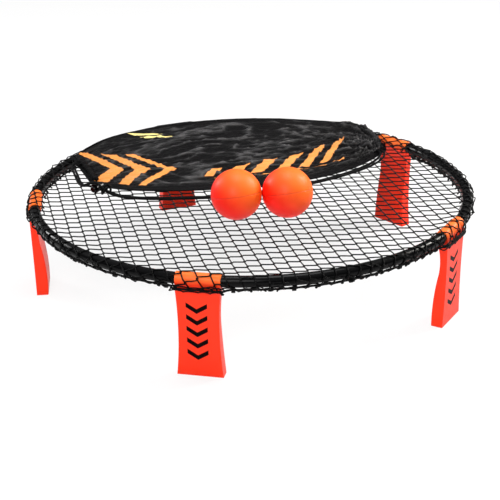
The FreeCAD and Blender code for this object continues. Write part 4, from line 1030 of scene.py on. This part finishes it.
    def support_mesh(self):
        """What the cloth lands on: the net's plane and the back of the rim."""
        turns, steps = 120, 26
        points, faces = [], []
        for index in range(turns + 1):
            angle = math.radians(25 + 150 * index / turns)
            for step in range(steps + 1):
                away = 0.36 + 0.110 * step / steps
                x, y = away * math.cos(angle), away * math.sin(angle)
                points.append((x, y, self.rest_height(x, y)))
        for index in range(turns):
            for step in range(steps):
                here, there = index * (steps + 1) + step, (index + 1) * (steps + 1) + step
                faces.append((here, here + 1, there + 1, there))
        start = len(points)
        level = NET_TOP + 0.001
        points += [(-0.45, -0.06, level), (0.37, -0.06, level), (0.37, 0.37, level), (-0.45, 0.37, level)]
        faces.append((start, start + 1, start + 2, start + 3))
        return mesh_from("bag_support", points, faces)

    def shell(self, top, uvs, columns, rows):
        """A closed bag: the crumpled top cloth over a bottom cloth that lies on the net, without print."""
        count = columns * rows
        bottom = []
        for index, point in enumerate(top):
            column, row = divmod(index, rows)
            at_edge = column in (0, columns - 1) or row in (0, rows - 1)
            low = self.rest_height(point.x, point.y) + 0.0006
            bottom.append(Vector((point.x, point.y, min(low, point.z - (0.0004 if at_edge else 0.0010)))))
        plain_uvs = [(u + self.PLAIN_UV, v) for u, v in uvs]
        faces, corner_uvs = [], []
        for c in range(columns - 1):
            for r in range(rows - 1):
                square = (c * rows + r, (c + 1) * rows + r, (c + 1) * rows + r + 1, c * rows + r + 1)
                faces.append(square)
                corner_uvs.append([uvs[k] for k in square])
                faces.append(tuple(k + count for k in reversed(square)))
                corner_uvs.append([plain_uvs[k] for k in reversed(square)])
        rim = ([c * rows for c in range(columns)] + [(columns - 1) * rows + r for r in range(1, rows)]
               + [c * rows + rows - 1 for c in range(columns - 2, -1, -1)]
               + [r for r in range(rows - 2, 0, -1)])
        for here, there in zip(rim, rim[1:] + rim[:1]):
            faces.append((there, here, here + count, there + count))
            corner_uvs.append([plain_uvs[k] for k in (there, here, here, there)])
        return mesh_from("bag_cloth_shell", top + bottom, faces, corner_uvs)

    def hem_mesh(self):
        """The gathered hem at the mouth, as a soft tube with pleats and without print."""
        low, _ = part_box("bag_hem")
        back, front = self.HEM_BACK, self.HEM_FRONT
        inward = Vector((front.y - back.y, back.x - front.x, 0)).normalized() * -1
        steps, sides = 90, 14
        points, faces, uvs = [], [], []
        for step in range(steps + 1):
            share = step / steps
            swell = 0.72 + 0.28 * math.sin(math.pi * min(max(share, 0.04), 0.96)) ** 0.4
            pleat = 0.10 * math.sin(share * 71 + 2 * math.sin(share * 23))
            middle = back.lerp(front, share) + inward * 0.0062
            middle.z = low[2] + 0.0052 + 0.0006 * math.sin(share * 40)
            for side in range(sides):
                angle = math.tau * side / sides
                wide = 0.0060 * swell * (1 + pleat * math.cos(angle * 2)) * math.cos(angle)
                tall = 0.0052 * swell * (1 + pleat) * math.sin(angle)
                points.append(middle + inward * wide + Vector((0, 0, tall)))
        for step in range(steps):
            u, further = self.PLAIN_UV + step * 0.002, self.PLAIN_UV + (step + 1) * 0.002
            for side in range(sides):
                after = (side + 1) % sides
                here, there = step * sides, (step + 1) * sides
                faces.append((here + side, there + side, there + after, here + after))
                v, higher = side * 0.003, (side + 1) * 0.003
                uvs.append([(u, v), (further, v), (further, higher), (u, higher)])
        for start, order in ((0, range(sides)), (steps * sides, range(sides - 1, -1, -1))):
            faces.append(tuple(start + k for k in order))
            uvs.append([(self.PLAIN_UV, k * 0.001) for k in order])
        return mesh_from("bag_hem_cloth", points, faces, uvs)


class ROUNDNET_PT_panel(bpy.types.Panel):
    """Lists the steps that make the set, and its sizes and colours"""
    bl_idname = "ROUNDNET_PT_panel"
    bl_label = "Roundnet set"
    bl_space_type = "VIEW_3D"
    bl_region_type = "UI"
    bl_category = "Roundnet"

    def draw(self, context):
        column = self.layout.column()
        for step in STEPS:
            column.operator(step.bl_idname)
        for group in (settings().net, settings().bag, settings().colours):
            box = column.box()
            for name in group.bl_rna.properties.keys():
                if name not in ("rna_type", "name"):
                    box.prop(group, name)


STEPS = (ROUNDNET_OT_stage, ROUNDNET_OT_drawcord, ROUNDNET_OT_net, ROUNDNET_OT_frame_parts,
         ROUNDNET_OT_balls, ROUNDNET_OT_bag)
CLASSES = (RoundnetView, RoundnetNet, RoundnetBag, RoundnetColours, RoundnetSettings, *STEPS,
           ROUNDNET_PT_panel)


def register():
    for each in CLASSES:
        bpy.utils.register_class(each)
    bpy.types.Scene.roundnet = PointerProperty(type=RoundnetSettings)


def unregister():
    del bpy.types.Scene.roundnet
    for each in reversed(CLASSES):
        bpy.utils.unregister_class(each)


def main():
    register()
    bpy.ops.roundnet.stage()
    bpy.ops.roundnet.drawcord()
    bpy.ops.roundnet.net()
    bpy.ops.roundnet.frame_parts()
    bpy.ops.roundnet.balls()
    bpy.ops.roundnet.bag()
    bpy.context.view_layer.update()


if __name__ == "__main__":
    main()
